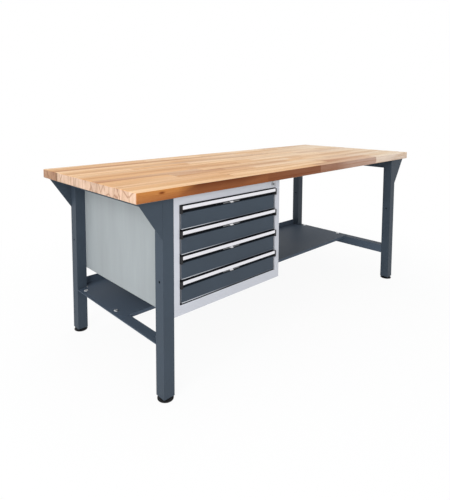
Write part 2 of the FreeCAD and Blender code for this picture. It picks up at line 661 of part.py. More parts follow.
def handle_floor(index):
    """Height of the lower edge of a drawer's handle."""
    return f"({drawer_floor(index)} + {front_height} - Sizes.handle_height)"


# The catch turns about a bead in a knuckle under the handle's top flange
knuckle_rear_y = f"({tray_y} - Sizes.handle_wall - Sizes.knuckle_rear_gap)"
catch_y = f"({knuckle_rear_y} - Sizes.knuckle_depth / 2)"


def catch_z(index):
    """Height of the catch's bead."""
    drop = "(Sizes.handle_wall + Sizes.knuckle_height / 2)"
    return f"({handle_floor(index)} + Sizes.handle_height - {drop})"


def make_handle(index):
    """An aluminium strip: back plate, top flange, front lip and the knuckle for the catch."""
    label = f"drawer_{index}_handle"
    low = handle_floor(index)
    high = f"({low} + Sizes.handle_height)"
    flange = f"({high} - Sizes.handle_wall)"
    left, right = f"({cabinet_mid_x} - {handle_half_x})", f"({cabinet_mid_x} + {handle_half_x})"
    back = block(f"{label}_back", (left, f"{tray_y} - Sizes.handle_wall", low),
                 (right, tray_y, high))
    top = block(f"{label}_top", (left, handle_lip_y, flange), (right, tray_y, high))
    lip = block(f"{label}_lip", (left, handle_lip_y, f"{high} - Sizes.handle_lip_height"),
                (right, f"{handle_lip_y} + Sizes.handle_lip_thickness", high))
    half = "(Sizes.catch_width / 2 + Sizes.catch_clearance)"
    end = f"({half} + Sizes.knuckle_end_wall)"
    knuckle = block(f"{label}_knuckle",
                    (f"{cabinet_mid_x} - {end}", f"{knuckle_rear_y} - Sizes.knuckle_depth",
                     f"{flange} - Sizes.knuckle_height"),
                    (f"{cabinet_mid_x} + {end}", knuckle_rear_y, flange))
    bore = rod(f"{label}_bore", "x", "Sizes.catch_bead_diameter + 2 * Sizes.catch_clearance",
               (f"{cabinet_mid_x} - {half}", catch_y, catch_z(index)), f"2 * {half}")
    room = "(Sizes.catch_sheet / 2 + Sizes.catch_swing_room)"
    slot = block(f"{label}_slot",
                 (f"{cabinet_mid_x} - {half}", f"{catch_y} - {room}",
                  f"{flange} - Sizes.knuckle_height - Sizes.overrun"),
                 (f"{cabinet_mid_x} + {half}", f"{catch_y} + {room}", catch_z(index)))
    solid = fuse(f"{label}_solid", [back, top, lip, knuckle])
    keep(label, cut(label, solid, [fuse(f"{label}_room", [bore, slot])]))


def make_cap(name, side, index):
    """A black end cap with rounded edges."""
    body = new_body(name)
    section = new_sketch(body, "XY_Plane")
    draw_rectangle(section, "0", f"{side} * Sizes.cap_width", "0",
                   f"{tray_y} - {handle_lip_y}")
    solid = pad(body, section, "Sizes.handle_height")
    doc.recompute()
    middle = number("Sizes.cap_width / 2")
    edges = [f"Edge{place_in_list}" for place_in_list, edge in enumerate(solid.Shape.Edges, start=1)
             if all(abs(vertex.X) > middle for vertex in edge.Vertexes)]
    rounding = body.newObject("PartDesign::Fillet", "EdgeRound")
    rounding.Base = (solid, edges)
    rounding.setExpression("Radius", "Sizes.cap_round")
    return place(body, f"{cabinet_mid_x} + {side} * {handle_half_x}", handle_lip_y,
                 handle_floor(index))


def make_caps(index):
    label = f"drawer_{index}_end_caps"
    keep(label, group(label, [make_cap(f"{label}_{name}", side, index) for name, side in SIDES]))


def make_catch(index):
    """A sheet tongue that hangs from its bead, with a finger tab at its lower edge."""
    label = f"drawer_{index}_catch"
    half, tab = "Sizes.catch_width / 2", "Sizes.catch_tab_width / 2"
    low = f"({handle_floor(index)} + Sizes.catch_floor_gap)"
    front, rear = f"({catch_y} - Sizes.catch_sheet / 2)", f"({catch_y} + Sizes.catch_sheet / 2)"
    bead = rod(f"{label}_bead", "x", "Sizes.catch_bead_diameter",
               (f"{cabinet_mid_x} - {half}", catch_y, catch_z(index)), "Sizes.catch_width")
    tongue = block(f"{label}_tongue", (f"{cabinet_mid_x} - {half}", front, low),
                   (f"{cabinet_mid_x} + {half}", rear, catch_z(index)))
    finger = block(f"{label}_tab", (f"{cabinet_mid_x} - {tab}",
                                    f"{front} - Sizes.catch_tab_reach", low),
                   (f"{cabinet_mid_x} + {tab}", rear, f"{low} + Sizes.catch_sheet"))
    keep(label, fuse(label, [bead, tongue, finger]))


def make_lock():
    """A cylinder lock: housing, plug with keyway, cam with its pin, and key."""
    bezel, barrel = "Sizes.lock_bezel_diameter / 2", "Sizes.lock_body_diameter / 2"
    bore = "(Sizes.plug_diameter / 2 + Sizes.plug_clearance)"
    head = "-Sizes.lock_bezel_height"
    housing = turn("lock_housing", "XY_Plane", (
        (bore, head), (bezel, head), (bezel, "0"), (barrel, "0"),
        (barrel, "Sizes.lock_body_length"), (bore, "Sizes.lock_body_length")))
    keep("lock_housing", place(housing, lock_x, face_y, lock_z))

    plug_y = f"({face_y} - Sizes.lock_bezel_height)"
    solid = rod("lock_plug_solid", "y", "Sizes.plug_diameter", (lock_x, plug_y, lock_z),
                f"{cam_y} - {plug_y}")
    way_x = "(Sizes.key_blade_thickness / 2 + Sizes.key_clearance)"
    way_z = "(Sizes.key_blade_width / 2 + Sizes.key_clearance)"
    keyway = block("lock_keyway",
                   (f"{lock_x} - {way_x}", f"{plug_y} - Sizes.overrun", f"{lock_z} - {way_z}"),
                   (f"{lock_x} + {way_x}",
                    f"{plug_y} + Sizes.key_blade_length + Sizes.key_clearance",
                    f"{lock_z} + {way_z}"))
    keep("lock_plug", cut("lock_plug", solid, [keyway]))

    hub = rod("lock_cam_hub", "y", "Sizes.cam_hub_diameter", (lock_x, cam_y, lock_z),
              "Sizes.cam_thickness")
    pin_x = f"({lock_x} + {cam_throw})"
    half_arm = "Sizes.cam_arm_width / 2"
    arm = block("lock_cam_arm", (lock_x, cam_y, f"{lock_z} - {half_arm}"),
                (pin_x, f"{cam_y} + Sizes.cam_thickness", f"{lock_z} + {half_arm}"))
    tip = rod("lock_cam_tip", "y", "Sizes.cam_arm_width", (pin_x, cam_y, lock_z),
              "Sizes.cam_thickness")
    pin = rod("lock_cam_pin", "y", "Sizes.cam_pin_diameter", (pin_x, cam_y, lock_z),
              "Sizes.cam_thickness + Sizes.bar_gap + Sizes.bar_thickness")
    keep("lock_cam", fuse("lock_cam", [hub, arm, tip, pin]))

    half_thick, half_wide = "Sizes.key_blade_thickness / 2", "Sizes.key_blade_width / 2"
    bow_y = f"({plug_y} - Sizes.key_neck - Sizes.key_bow_diameter / 2)"
    blade = block("lock_key_blade", (f"{lock_x} - {half_thick}", bow_y, f"{lock_z} - {half_wide}"),
                  (f"{lock_x} + {half_thick}", f"{plug_y} + Sizes.key_blade_length",
                   f"{lock_z} + {half_wide}"))
    bow = rod("lock_key_bow", "x", "Sizes.key_bow_diameter",
              (f"{lock_x} - {half_thick}", bow_y, lock_z), "Sizes.key_blade_thickness")
    ring_hole = rod("lock_key_hole", "x", "Sizes.key_bow_hole",
                    (f"{lock_x} - {half_thick} - Sizes.overrun",
                     f"{bow_y} - Sizes.key_bow_diameter / 4", lock_z),
                    "Sizes.key_blade_thickness + 2 * Sizes.overrun")
    keep("lock_key", cut("lock_key", fuse("lock_key_solid", [blade, bow]), [ring_hole]))


def make_lock_bar():
    """The bar behind the right stile: an arm for the cam's pin and a tab for every drawer."""
    body = new_body("lock_bar")
    face = new_sketch(body, "XZ_Plane")
    bar_x = f"({stile_x} + Sizes.bar_side_gap)"
    outer_x = f"({cabinet_right_x} - Sizes.frame_wall - Sizes.bar_side_gap)"
    pin_room = "(Sizes.cam_pin_diameter / 2 + Sizes.bar_gap)"
    slot_x = f"({lock_x} - {pin_room})"
    slot_top = f"({lock_z} + {pin_room})"
    slot_low = f"({lock_z} - {pin_room} - Sizes.bar_slot_slack_share * {cam_throw})"
    arm_x = f"({slot_x} - Sizes.bar_arm_margin)"
    arm_top = f"({slot_top} + Sizes.bar_arm_margin)"
    arm_low = f"({slot_low} - Sizes.bar_arm_margin)"
    foot = f"({cabinet_z} + Sizes.frame_wall + {cam_throw} + Sizes.bar_foot_gap)"
    tab_x = f"({cabinet_mid_x} + {front_half_x} + Sizes.bar_tab_gap)"
    points = [(outer_x, foot), (outer_x, arm_top), (arm_x, arm_top), (arm_x, arm_low),
              (bar_x, arm_low)]
    for index in DRAWERS:
        tab_low = (f"({drawer_floor(index)} + Sizes.ear_rise + Sizes.ear_height"
                   " + Sizes.bar_tab_clearance)")
        tab_top = f"({tab_low} + Sizes.bar_tab_height)"
        points += [(bar_x, tab_top), (tab_x, tab_top), (tab_x, tab_low), (bar_x, tab_low)]
    points.append((bar_x, foot))
    draw_outline(face, points)
    draw_rectangle(face, slot_x, f"{lock_x} + {cam_throw} + {pin_room}", slot_low, slot_top)
    pad(body, face, "Sizes.bar_thickness", reverse=True)
    keep("lock_bar", place(body, y=bar_y))


def make_frames():
    gussets = []
    inserts = []
    for name, side in SIDES:
        for end_name, end in ENDS:
            make_leg(f"{name}_{end_name}_leg", side, end)
            make_foot(f"{name}_{end_name}_foot", side, end)
            gussets.append(make_gusset(f"{name}_{end_name}_gusset", side, end))
            inserts.append(make_foot_insert(f"{name}_{end_name}_insert", side, end))
        make_upper_rail(f"{name}_upper_rail", side)
        make_lower_rail(f"{name}_lower_rail", side)
    keep("leg_gussets", group("leg_gussets", gussets))
    keep("foot_inserts", group("foot_inserts", inserts))


def make_drawers():
    for index in DRAWERS:
        make_tray(index)
        make_front(index)
        make_handle(index)
        make_caps(index)
        make_catch(index)
        make_inner_runners(index)
        make_middle_runners(index)


def check_model():
    """Stop if anything in the document failed, before a file is written."""
    doc.recompute()
    for item in doc.Objects:
        if "Invalid" in item.State or "Error" in item.State:
            raise RuntimeError(f"{item.Label} did not build")
    for label, piece in nodes.items():
        if piece.Shape.isNull() or not piece.Shape.isValid() or not piece.Shape.Solids:
            raise RuntimeError(f"{label} has no valid solid")


make_worktop()
make_frames()
make_shelf()
make_shelf_bolts()
make_worktop_screws()
make_cabinet_panels()
make_face_frame()
make_runner_posts()
make_cabinet_runners()
make_drawers()
make_lock()
make_lock_bar()
check_model()

os.makedirs("parts", exist_ok=True)
for label, piece in nodes.items():
    piece.Shape.exportStep(f"parts/{label}.step")
    print(f"{label}: {len(piece.Shape.Solids)} solids, {piece.Shape.Volume / 1000:.1f} cm3")
print(f"{len(nodes)} nodes")
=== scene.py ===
# %% [markdown]
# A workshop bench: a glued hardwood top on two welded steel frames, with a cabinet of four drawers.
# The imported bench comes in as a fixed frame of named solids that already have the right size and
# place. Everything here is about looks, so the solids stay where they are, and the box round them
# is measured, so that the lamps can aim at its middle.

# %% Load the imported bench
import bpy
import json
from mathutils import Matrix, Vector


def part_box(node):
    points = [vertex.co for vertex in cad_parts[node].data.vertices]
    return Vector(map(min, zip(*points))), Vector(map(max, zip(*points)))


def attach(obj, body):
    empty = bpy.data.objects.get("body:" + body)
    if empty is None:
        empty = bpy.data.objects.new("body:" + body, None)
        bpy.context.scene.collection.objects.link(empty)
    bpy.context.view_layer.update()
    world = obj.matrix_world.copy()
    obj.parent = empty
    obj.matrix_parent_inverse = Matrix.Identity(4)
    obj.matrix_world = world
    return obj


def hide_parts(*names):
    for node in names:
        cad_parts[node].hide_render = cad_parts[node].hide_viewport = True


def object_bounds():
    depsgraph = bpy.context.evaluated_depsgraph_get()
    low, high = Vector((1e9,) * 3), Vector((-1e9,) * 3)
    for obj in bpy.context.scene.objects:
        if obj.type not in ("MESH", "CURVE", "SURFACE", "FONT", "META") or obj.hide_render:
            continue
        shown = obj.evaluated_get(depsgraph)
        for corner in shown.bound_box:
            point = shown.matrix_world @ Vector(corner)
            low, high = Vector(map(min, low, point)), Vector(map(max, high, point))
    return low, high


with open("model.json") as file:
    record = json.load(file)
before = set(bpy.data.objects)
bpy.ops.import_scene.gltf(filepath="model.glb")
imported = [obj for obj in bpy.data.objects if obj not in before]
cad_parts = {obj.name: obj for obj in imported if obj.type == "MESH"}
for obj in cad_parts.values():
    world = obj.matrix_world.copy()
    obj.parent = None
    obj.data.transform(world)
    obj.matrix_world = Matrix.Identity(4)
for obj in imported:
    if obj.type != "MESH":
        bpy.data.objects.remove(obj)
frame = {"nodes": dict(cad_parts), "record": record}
cad_low, cad_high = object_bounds()
print("bench box in metres", [round(v, 3) for v in cad_high - cad_low])

# %% Tools used below
import bpy
import json
import math
import random
from mathutils import Vector

scene = bpy.context.scene
scene.view_settings.view_transform = "Standard"
print("colours are shown by", scene.view_settings.view_transform)

# %% [markdown]
# The photograph looks at the bench from its front left corner, at about eye height, with upright
# edges that stay upright. A tilted camera would make the legs lean together, so this one looks
# almost level, and the lens shift moves the bench down into the frame, as an architect's camera
# does. The numbers come from matching corners, feet and drawers with the photograph.

# %% Camera
FRAME_WIDTH_PX, FRAME_HEIGHT_PX = 450, 500
SENSOR_MM = 36.0


def new_object(name, data):
    """Put a mesh, a lamp or a lens into the scene as an object of the same name."""
    added = bpy.data.objects.new(name, data)
    scene.collection.objects.link(added)
    return added


def make_camera(place, yaw, pitch, focal_px, centre_px):
    """A camera from its place in metres, two angles, and its focal length and centre in pixels."""
    lens = bpy.data.cameras.new("bench_camera")
    lens.sensor_width = SENSOR_MM
    lens.lens = focal_px * SENSOR_MM / FRAME_HEIGHT_PX
    lens.shift_x = (FRAME_WIDTH_PX / 2 - centre_px[0]) / FRAME_HEIGHT_PX
    lens.shift_y = (centre_px[1] - FRAME_HEIGHT_PX / 2) / FRAME_HEIGHT_PX
    camera = new_object("bench_camera", lens)
    camera.location = place
    camera.rotation_euler = (math.pi / 2 + pitch, 0, -yaw)
    scene.camera = camera
    return camera


camera = make_camera(place=(-1.849, -1.640, 1.107), yaw=0.731, pitch=-0.08,
                     focal_px=436.2, centre_px=(205.0, 143.3))
print("lens", round(camera.data.lens, 1), "mm, shift", round(camera.data.shift_x, 3),
      round(camera.data.shift_y, 3))

# %% [markdown]
# The bench stands on a plain white floor under soft studio light. To the camera, and in
# reflections, floor and surroundings are white; for the light that falls on the bench they are an
# ordinary pale room, so the white never floods the bench. Near the bench the floor mixes plain
# white with a surface that takes shadow, so that the feet stay grounded; further out it is white.

# %% Room
COOL_WHITE, PURE_WHITE = (0.96, 0.98, 1.0, 1), (1, 1, 1, 1)


def new_node(tree, kind, **settings):
    """Add a node and set its plain properties."""
    node = tree.nodes.new(kind)
    for key, value in settings.items():
        setattr(node, key, value)
    return node


def math_node(tree, operation, first, second=None):
    """One sum with one or two values, each a socket or a number."""
    node = new_node(tree, "ShaderNodeMath", operation=operation)
    for place, value in enumerate((first, second)):
        if value is None:
            continue
        if isinstance(value, (int, float)):
            node.inputs[place].default_value = value
        else:
            tree.links.new(value, node.inputs[place])
    return node.outputs[0]


def seen_directly(tree):
    """1 where the camera, a reflection or glass looks, 0 for light on its way to the bench."""
    ray = new_node(tree, "ShaderNodeLightPath").outputs
    either = math_node(tree, "MAXIMUM", ray["Is Camera Ray"], ray["Is Glossy Ray"])
    return math_node(tree, "MAXIMUM", either, ray["Is Transmission Ray"])


def mixed_shaders(tree, share, first, second):
    """The light of two shader nodes, mixed by a share."""
    node = new_node(tree, "ShaderNodeMixShader")
    tree.links.new(share, node.inputs["Fac"])
    tree.links.new(first.outputs[0], node.inputs[1])
    tree.links.new(second.outputs[0], node.inputs[2])
    return node.outputs[0]


def make_room(ambient):
    """A white surround for the eye and an even, dimmer one for the light."""
    room = bpy.data.worlds.new("studio")
    scene.world = room
    room.use_nodes = True
    tree = room.node_tree
    tree.nodes.clear()
    light = new_node(tree, "ShaderNodeBackground")
    light.inputs["Color"].default_value = COOL_WHITE
    light.inputs["Strength"].default_value = ambient
    white = new_node(tree, "ShaderNodeBackground")
    white.inputs["Color"].default_value = PURE_WHITE
    out = new_node(tree, "ShaderNodeOutputWorld")
    tree.links.new(mixed_shaders(tree, seen_directly(tree), light, white), out.inputs["Surface"])
    return room


room = make_room(ambient=0.56)
print("room:", len(room.node_tree.nodes), "nodes")

# %% Floor
FLOOR_GREY = (0.86, 0.86, 0.86, 1)
WHITE_STARTS, WHITE_FULL = 0.9, 2.2


def fade(tree, value, start, end, low=0.0, high=1.0):
    """A smooth step from one level at start to another at end."""
    node = new_node(tree, "ShaderNodeMapRange", interpolation_type="SMOOTHSTEP")
    for name, level in (("From Min", start), ("From Max", end), ("To Min", low), ("To Max", high)):
        node.inputs[name].default_value = level
    tree.links.new(value, node.inputs["Value"])
    return node.outputs["Result"]


def make_floor(reach, white_share):
    """A wide floor: part white and part lit surface at the bench, all white further out."""
    mesh = bpy.data.meshes.new("floor")
    mesh.from_pydata([(-reach, -reach, 0), (reach, -reach, 0), (reach, reach, 0),
                      (-reach, reach, 0)], [], [(0, 1, 2, 3)])
    floor = new_object("floor", mesh)
    paint = bpy.data.materials.new("floor_white")
    paint.use_nodes = True
    tree = paint.node_tree
    tree.nodes.clear()
    lit = new_node(tree, "ShaderNodeBsdfDiffuse")
    lit.inputs["Color"].default_value = FLOOR_GREY
    white = new_node(tree, "ShaderNodeEmission")
    away = new_node(tree, "ShaderNodeVectorMath", operation="LENGTH")
    tree.links.new(new_node(tree, "ShaderNodeTexCoord").outputs["Object"], away.inputs[0])
    whiteness = fade(tree, away.outputs["Value"], WHITE_STARTS, WHITE_FULL, white_share)
    share = math_node(tree, "MULTIPLY", seen_directly(tree), whiteness)
    out = new_node(tree, "ShaderNodeOutputMaterial")
    tree.links.new(mixed_shaders(tree, share, lit, white), out.inputs["Surface"])
    mesh.materials.append(paint)
    return floor


floor = make_floor(reach=60, white_share=0.93)
print("floor", floor.dimensions[0], "m wide")

# %% [markdown]
# The light comes from the left and from above: the left faces of the legs are a little lighter
# than their fronts, and the top is brightest. A low lamp in front also reaches in under the top,
# where the legs and the shelf stay well lit. Three area lamps do that, aimed at the middle of the
# bench. They are large, because a large lamp gives soft shadow edges, as a studio softbox does. The
# left one is kept out of reflections, or it would be a white glare on the top from the right.

# %% Softboxes
SOFTBOXES = {"left_softbox": ((-4.0, -1.7, 2.0), 2.6, 138),
             "low_softbox": ((-1.6, -4.2, 0.9), 3.0, 48),
             "top_softbox": ((0.3, 0.4, 4.2), 3.0, 46)}


def softbox(name, aim, place, size, power):
    """A square area lamp of so many metres and watts that looks at a point."""
    lamp = bpy.data.lights.new(name, "AREA")
    lamp.size = size
    lamp.energy = power
    holder = new_object(name, lamp)
    holder.location = place
    holder.rotation_euler = (aim - Vector(place)).to_track_quat("-Z", "Y").to_euler()
    return holder


middle = (cad_low + cad_high) / 2
lamps = {name: softbox(name, middle, *setting) for name, setting in SOFTBOXES.items()}
lamps["left_softbox"].visible_glossy = False
print("softboxes:", *lamps)

# %% [markdown]
# Real sheet metal and tube never end in a perfect edge: folding, cutting and coating leave a small
# round that catches the light. The solids have sharp edges, and rounding every one in the source
# would be slow. A Bevel modifier after a Weld does the same for the eye alone and leaves the mesh
# itself as it is. Catches and wood screws have the finest corners, and a last Weld closes them.

# %% Soft edges
SAME_POINT = 0.00001
FLAT_ANGLE, SHARP_ANGLE = math.radians(0.5), math.radians(50)
FRONT_ROUND = 0.0006
EDGE_ROUNDS = {("_leg", "_rail"): 0.0012,
               ("leg_gussets",): 0.0010,
               ("_front", "_handle"): FRONT_ROUND,
               ("_catch",): 0.0004,
               ("lower_shelf", "_left_side", "_right_side", "_face_frame"): 0.0005}


def weld(piece):
    """Join corners that lie on each other, so that no face is left without an area."""
    piece.modifiers.new("weld", "WELD").merge_threshold = SAME_POINT


def soften_piece(piece, radius):
    """Round the sharp edges of one piece by a radius in metres."""
    weld(piece)
    flat = piece.modifiers.new("join_flat_faces", "DECIMATE")
    flat.decimate_type = "DISSOLVE"
    flat.angle_limit = FLAT_ANGLE
    edge = piece.modifiers.new("edge_round", "BEVEL")
    edge.width = radius
    edge.segments = 2
    edge.limit_method = "ANGLE"
    edge.angle_limit = SHARP_ANGLE
    edge.harden_normals = True


def named(*endings):
    """The names of all nodes that end in one of the given words."""
    return [name for name in sorted(frame["nodes"]) if name.endswith(endings)]


for endings, radius in EDGE_ROUNDS.items():
    for name in named(*endings):
        soften_piece(frame["nodes"][name], radius)
for name in (*named("_catch"), "worktop_screws"):
    weld(frame["nodes"][name])
print("softened", sum(1 for o in frame["nodes"].values() if o.modifiers), "pieces")

# %% [markdown]
# A material in Blender is a tree of nodes: coordinates lead into a pattern, the pattern into a ramp
# of colours, and that into the shader. The same few nodes come again in every finish, so each gets
# a small helper. A noise stays near its middle, so only that range is spread out.

# %% Patterns for the finishes
NOISE_LOW, NOISE_HIGH = 0.3, 0.7


def new_finish(name):
    """A material, its node tree, its shader and the coordinates of the piece itself."""
    finish = bpy.data.materials.new(name)
    finish.use_nodes = True
    tree = finish.node_tree
    where = new_node(tree, "ShaderNodeTexCoord")
    return finish, tree, tree.nodes["Principled BSDF"], where.outputs["Object"]


def stretched(tree, where, scale):
    """Coordinates multiplied along each axis, to draw a pattern out."""
    node = new_node(tree, "ShaderNodeMapping")
    node.inputs["Scale"].default_value = scale
    tree.links.new(where, node.inputs["Vector"])
    return node.outputs["Vector"]


def noise(tree, where, waves, detail, roughness=0.5):
    """A noise of so many waves in a metre, one count or one for each axis."""
    node = new_node(tree, "ShaderNodeTexNoise")
    if isinstance(waves, tuple):
        where, waves = stretched(tree, where, waves), 1.0
    node.inputs["Scale"].default_value = waves
    node.inputs["Detail"].default_value = detail
    node.inputs["Roughness"].default_value = roughness
    tree.links.new(where, node.inputs["Vector"])
    return node.outputs["Fac"]


def ramp(tree, value, stops):
    """Turn a value into colours: stops are pairs of place and colour."""
    node = new_node(tree, "ShaderNodeValToRGB")
    band = node.color_ramp
    while len(band.elements) < len(stops):
        band.elements.new(0.5)
    for element, (place, colour) in zip(band.elements, stops):
        element.position = place
        element.color = (*colour, 1)
    tree.links.new(value, node.inputs["Fac"])
    return node.outputs["Color"]


def spread(tree, value, low, high):
    """Stretch a pattern's middle range to run from low to high."""
    node = new_node(tree, "ShaderNodeMapRange")
    node.inputs["From Min"].default_value = NOISE_LOW
    node.inputs["From Max"].default_value = NOISE_HIGH
    node.inputs["To Min"].default_value = low
    node.inputs["To Max"].default_value = high
    tree.links.new(value, node.inputs["Value"])
    return node.outputs["Result"]


def bump(tree, shader, value, depth, strength):
    """Tilt the surface by a pattern that is so deep in metres."""
    node = new_node(tree, "ShaderNodeBump")
    node.inputs["Distance"].default_value = depth
    node.inputs["Strength"].default_value = strength
    tree.links.new(value, node.inputs["Height"])
    tree.links.new(node.outputs["Normal"], shader.inputs["Normal"])


def lead_in(tree, shader, colour, roughness):
    """Lead a colour and a roughness into the shader."""
    tree.links.new(colour, shader.inputs["Base Color"])
    tree.links.new(roughness, shader.inputs["Roughness"])


def shaded(colour, share):
    """A colour made darker or lighter."""
    return tuple(channel * share for channel in colour)


print("a noise is spread out from", NOISE_LOW, "to", NOISE_HIGH)

# %% [markdown]
# The steel is powder coated. Dry powder is sprayed on and baked, which leaves a tough skin with a
# very fine orange peel and a slightly uneven sheen. A fine noise drives the bump, a broad one
# shifts colour and roughness by a few percent, and the paint's own gloss stays on the shader.

# %% Powder coat
COAT_WAVES, PEEL_WAVES, PEEL_DEPTH = (5, 5, 5), 700.0, 0.00006
DULL, SATIN = {"gloss": 0.55, "shine": 0.22}, {"gloss": 0.42, "shine": 0.35}
ANTHRACITE = (0.037, 0.051, 0.069)


def powder_coat(name, colour, unevenness, waves, gloss, shine):
    """A coat whose colour and sheen drift by a share of themselves."""
    finish, tree, shader, where = new_finish(name)
    shader.inputs["Specular IOR Level"].default_value = shine
    cloud = noise(tree, where, waves, detail=4.0, roughness=0.6)
    stops = ((NOISE_LOW, shaded(colour, 1 - unevenness)), (0.5, colour),
             (NOISE_HIGH, shaded(colour, 1 + unevenness)))
    lead_in(tree, shader, ramp(tree, cloud, stops), spread(tree, cloud, gloss - 0.05, gloss + 0.05))
    bump(tree, shader, noise(tree, where, PEEL_WAVES, detail=2.0), PEEL_DEPTH, strength=0.35)
    return finish


anthracite = powder_coat("anthracite_coat", ANTHRACITE, 0.09, COAT_WAVES, **DULL)
frame_grey = powder_coat("frame_grey_coat", (0.475, 0.487, 0.529), 0.03, COAT_WAVES, **SATIN)
# The case grey is darker than the frame grey as painted shade, for the shade under the top.
case_grey = powder_coat("case_grey_coat", (0.277, 0.303, 0.313), 0.08, (6, 14, 1.5), **SATIN)
# This coat is lighter than the anthracite as painted light, for the shade under the top.
lightened_shelf_coat = powder_coat("lightened_shelf_coat", (0.060, 0.082, 0.114), 0.07, (3, 3, 3), **DULL)
print("powder coats:", anthracite.name, frame_grey.name, case_grey.name, lightened_shelf_coat.name)

# %% [markdown]
# Along its lower edge each drawer front has a small folded bead that carries a painted highlight,
# a light line for the light that its rounded edge catches. The bead stands a little proud of the
# sheet, so its own depth tells the shader where it is, and no mask has to be painted. The painted
# highlight is brightest at the left. The two flanks of the front, which show through the gap beside
# it, are painted paler, as painted light in that shaded gap, and the ledge of the face frame under
# the lowest drawer is darkened with painted shade, for the shadow of the gap above it.

# %% Drawer fronts
BEAD_STANDS, FLANK_STARTS = 0.0009, 0.003
# The bead grey is a painted highlight, the flank grey painted light, the ledge colour painted
# shade.
HIGHLIGHT_STARTS, HIGHLIGHT_ENDS, HIGHLIGHT_LEAST = 0.05, 0.28, 0.12
BEAD_HIGHLIGHT_GREY, GAP_LIGHT_GREY, LEDGE_SHADE = (0.46, 0.48, 0.52), (0.27, 0.28, 0.31), (0.030, 0.033, 0.040)
LEDGE_BESIDE, LEDGE_BELOW, LEDGE_ABOVE = 0.011, 0.03, 0.01
FACES_ASIDE, FACES_UP = 0.9, 0.7


def parts_of(tree, vector):
    """The three numbers of a vector, by axis name."""
    node = new_node(tree, "ShaderNodeSeparateXYZ")
    tree.links.new(vector, node.inputs[0])
    return node.outputs


def blended(tree, share, first, second):
    """Two colours mixed by a pattern, each a socket or a plain colour."""
    node = new_node(tree, "ShaderNodeMix", data_type="RGBA")
    tree.links.new(share, node.inputs["Factor"])
    for name, colour in (("A", first), ("B", second)):
        if isinstance(colour, tuple):
            node.inputs[name].default_value = (*colour, 1)
        else:
            tree.links.new(colour, node.inputs[name])
    return node.outputs["Result"]


def painted_light_front():
    """The coat of a drawer front, with a painted highlight on its bead and flanks painted paler."""
    finish = powder_coat("drawer_front_coat", ANTHRACITE, 0.09, COAT_WAVES, **DULL)
    tree = finish.node_tree
    shader = tree.nodes["Principled BSDF"]
    where = new_node(tree, "ShaderNodeTexCoord")
    place = parts_of(tree, where.outputs["Object"])
    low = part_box("drawer_1_front")[0]
    proud = math_node(tree, "LESS_THAN", place["Y"], low.y + BEAD_STANDS)
    # Painted highlight on the bead, brightest at the left.
    highlight_fade = fade(tree, place["X"], low.x + HIGHLIGHT_STARTS, low.x + HIGHLIGHT_ENDS, 1.0, HIGHLIGHT_LEAST)
    share = math_node(tree, "MULTIPLY", proud, highlight_fade)
    coat = shader.inputs["Base Color"].links[0].from_socket
    coat = blended(tree, share, coat, BEAD_HIGHLIGHT_GREY)
    sideways = math_node(tree, "ABSOLUTE", parts_of(tree, where.outputs["Normal"])["X"])
    # Painted light on the flanks that show in the shaded gap.
    flank = math_node(tree, "MULTIPLY", math_node(tree, "GREATER_THAN", sideways, FACES_ASIDE),
                      math_node(tree, "GREATER_THAN", place["Y"], low.y + FLANK_STARTS))
    tree.links.new(blended(tree, flank, coat, GAP_LIGHT_GREY), shader.inputs["Base Color"])
    return finish


def shaded_ledge(finish, low, high):
    """Paint shade on what faces up between two corners, the ledge under the lowest drawer."""
    tree = finish.node_tree
    shader = tree.nodes["Principled BSDF"]
    where = new_node(tree, "ShaderNodeTexCoord")
    upward = parts_of(tree, where.outputs["Normal"])["Z"]
    share = math_node(tree, "GREATER_THAN", upward, FACES_UP)
    place = parts_of(tree, where.outputs["Object"])
    for axis, start, end in zip("XZ", low, high):
        for side, limit in (("GREATER_THAN", start), ("LESS_THAN", end)):
            share = math_node(tree, "MULTIPLY", share, math_node(tree, side, place[axis], limit))
    coat = shader.inputs["Base Color"].links[0].from_socket
    tree.links.new(blended(tree, share, coat, LEDGE_SHADE), shader.inputs["Base Color"])


# Painted shade on the ledge under the lowest drawer, for the shadow of the gap.
drawer_coat = painted_light_front()
last_low, last_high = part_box("drawer_4_front")
shaded_ledge(frame_grey, (last_low.x - LEDGE_BESIDE, last_low.z - LEDGE_BELOW),
            (last_high.x + LEDGE_BESIDE, last_low.z + LEDGE_ABOVE))
print("drawer fronts:", len(drawer_coat.node_tree.nodes), "nodes")

# %% [markdown]
# The bright parts are bare or plated metal. Zinc plating has cloudy patches; nickel and chrome are
# smooth. All are full metals on the shader, and only the pattern in their roughness and colour
# tells them apart. The lock's plug is a darker steel than its housing.

# %% Bare and plated metal
METAL_DEPTH = 0.00003


def plated(name, colour, gloss, waves, unevenness):
    """Metal with clouds, so many waves of them in a metre."""
    finish, tree, shader, where = new_finish(name)
    shader.inputs["Metallic"].default_value = 1.0
    cloud = noise(tree, where, (waves, waves, waves), detail=3.0, roughness=0.6)
    stops = ((NOISE_LOW, shaded(colour, 1 - unevenness)), (NOISE_HIGH, colour))
    lead_in(tree, shader, ramp(tree, cloud, stops), spread(tree, cloud, gloss - 0.06, gloss + 0.08))
    bump(tree, shader, cloud, METAL_DEPTH, strength=0.3)
    return finish


zinc = plated("zinc_plate", (0.60, 0.61, 0.62), gloss=0.36, waves=45, unevenness=0.14)
nickel = plated("nickel_plate", (0.62, 0.62, 0.63), gloss=0.24, waves=120, unevenness=0.08)
chrome = plated("chrome_plate", (0.50, 0.51, 0.53), gloss=0.16, waves=160, unevenness=0.06)
plug_steel = plated("lock_plug_steel", (0.20, 0.20, 0.21), gloss=0.34, waves=300, unevenness=0.15)
print("metals:", zinc.name, nickel.name, chrome.name, plug_steel.name)

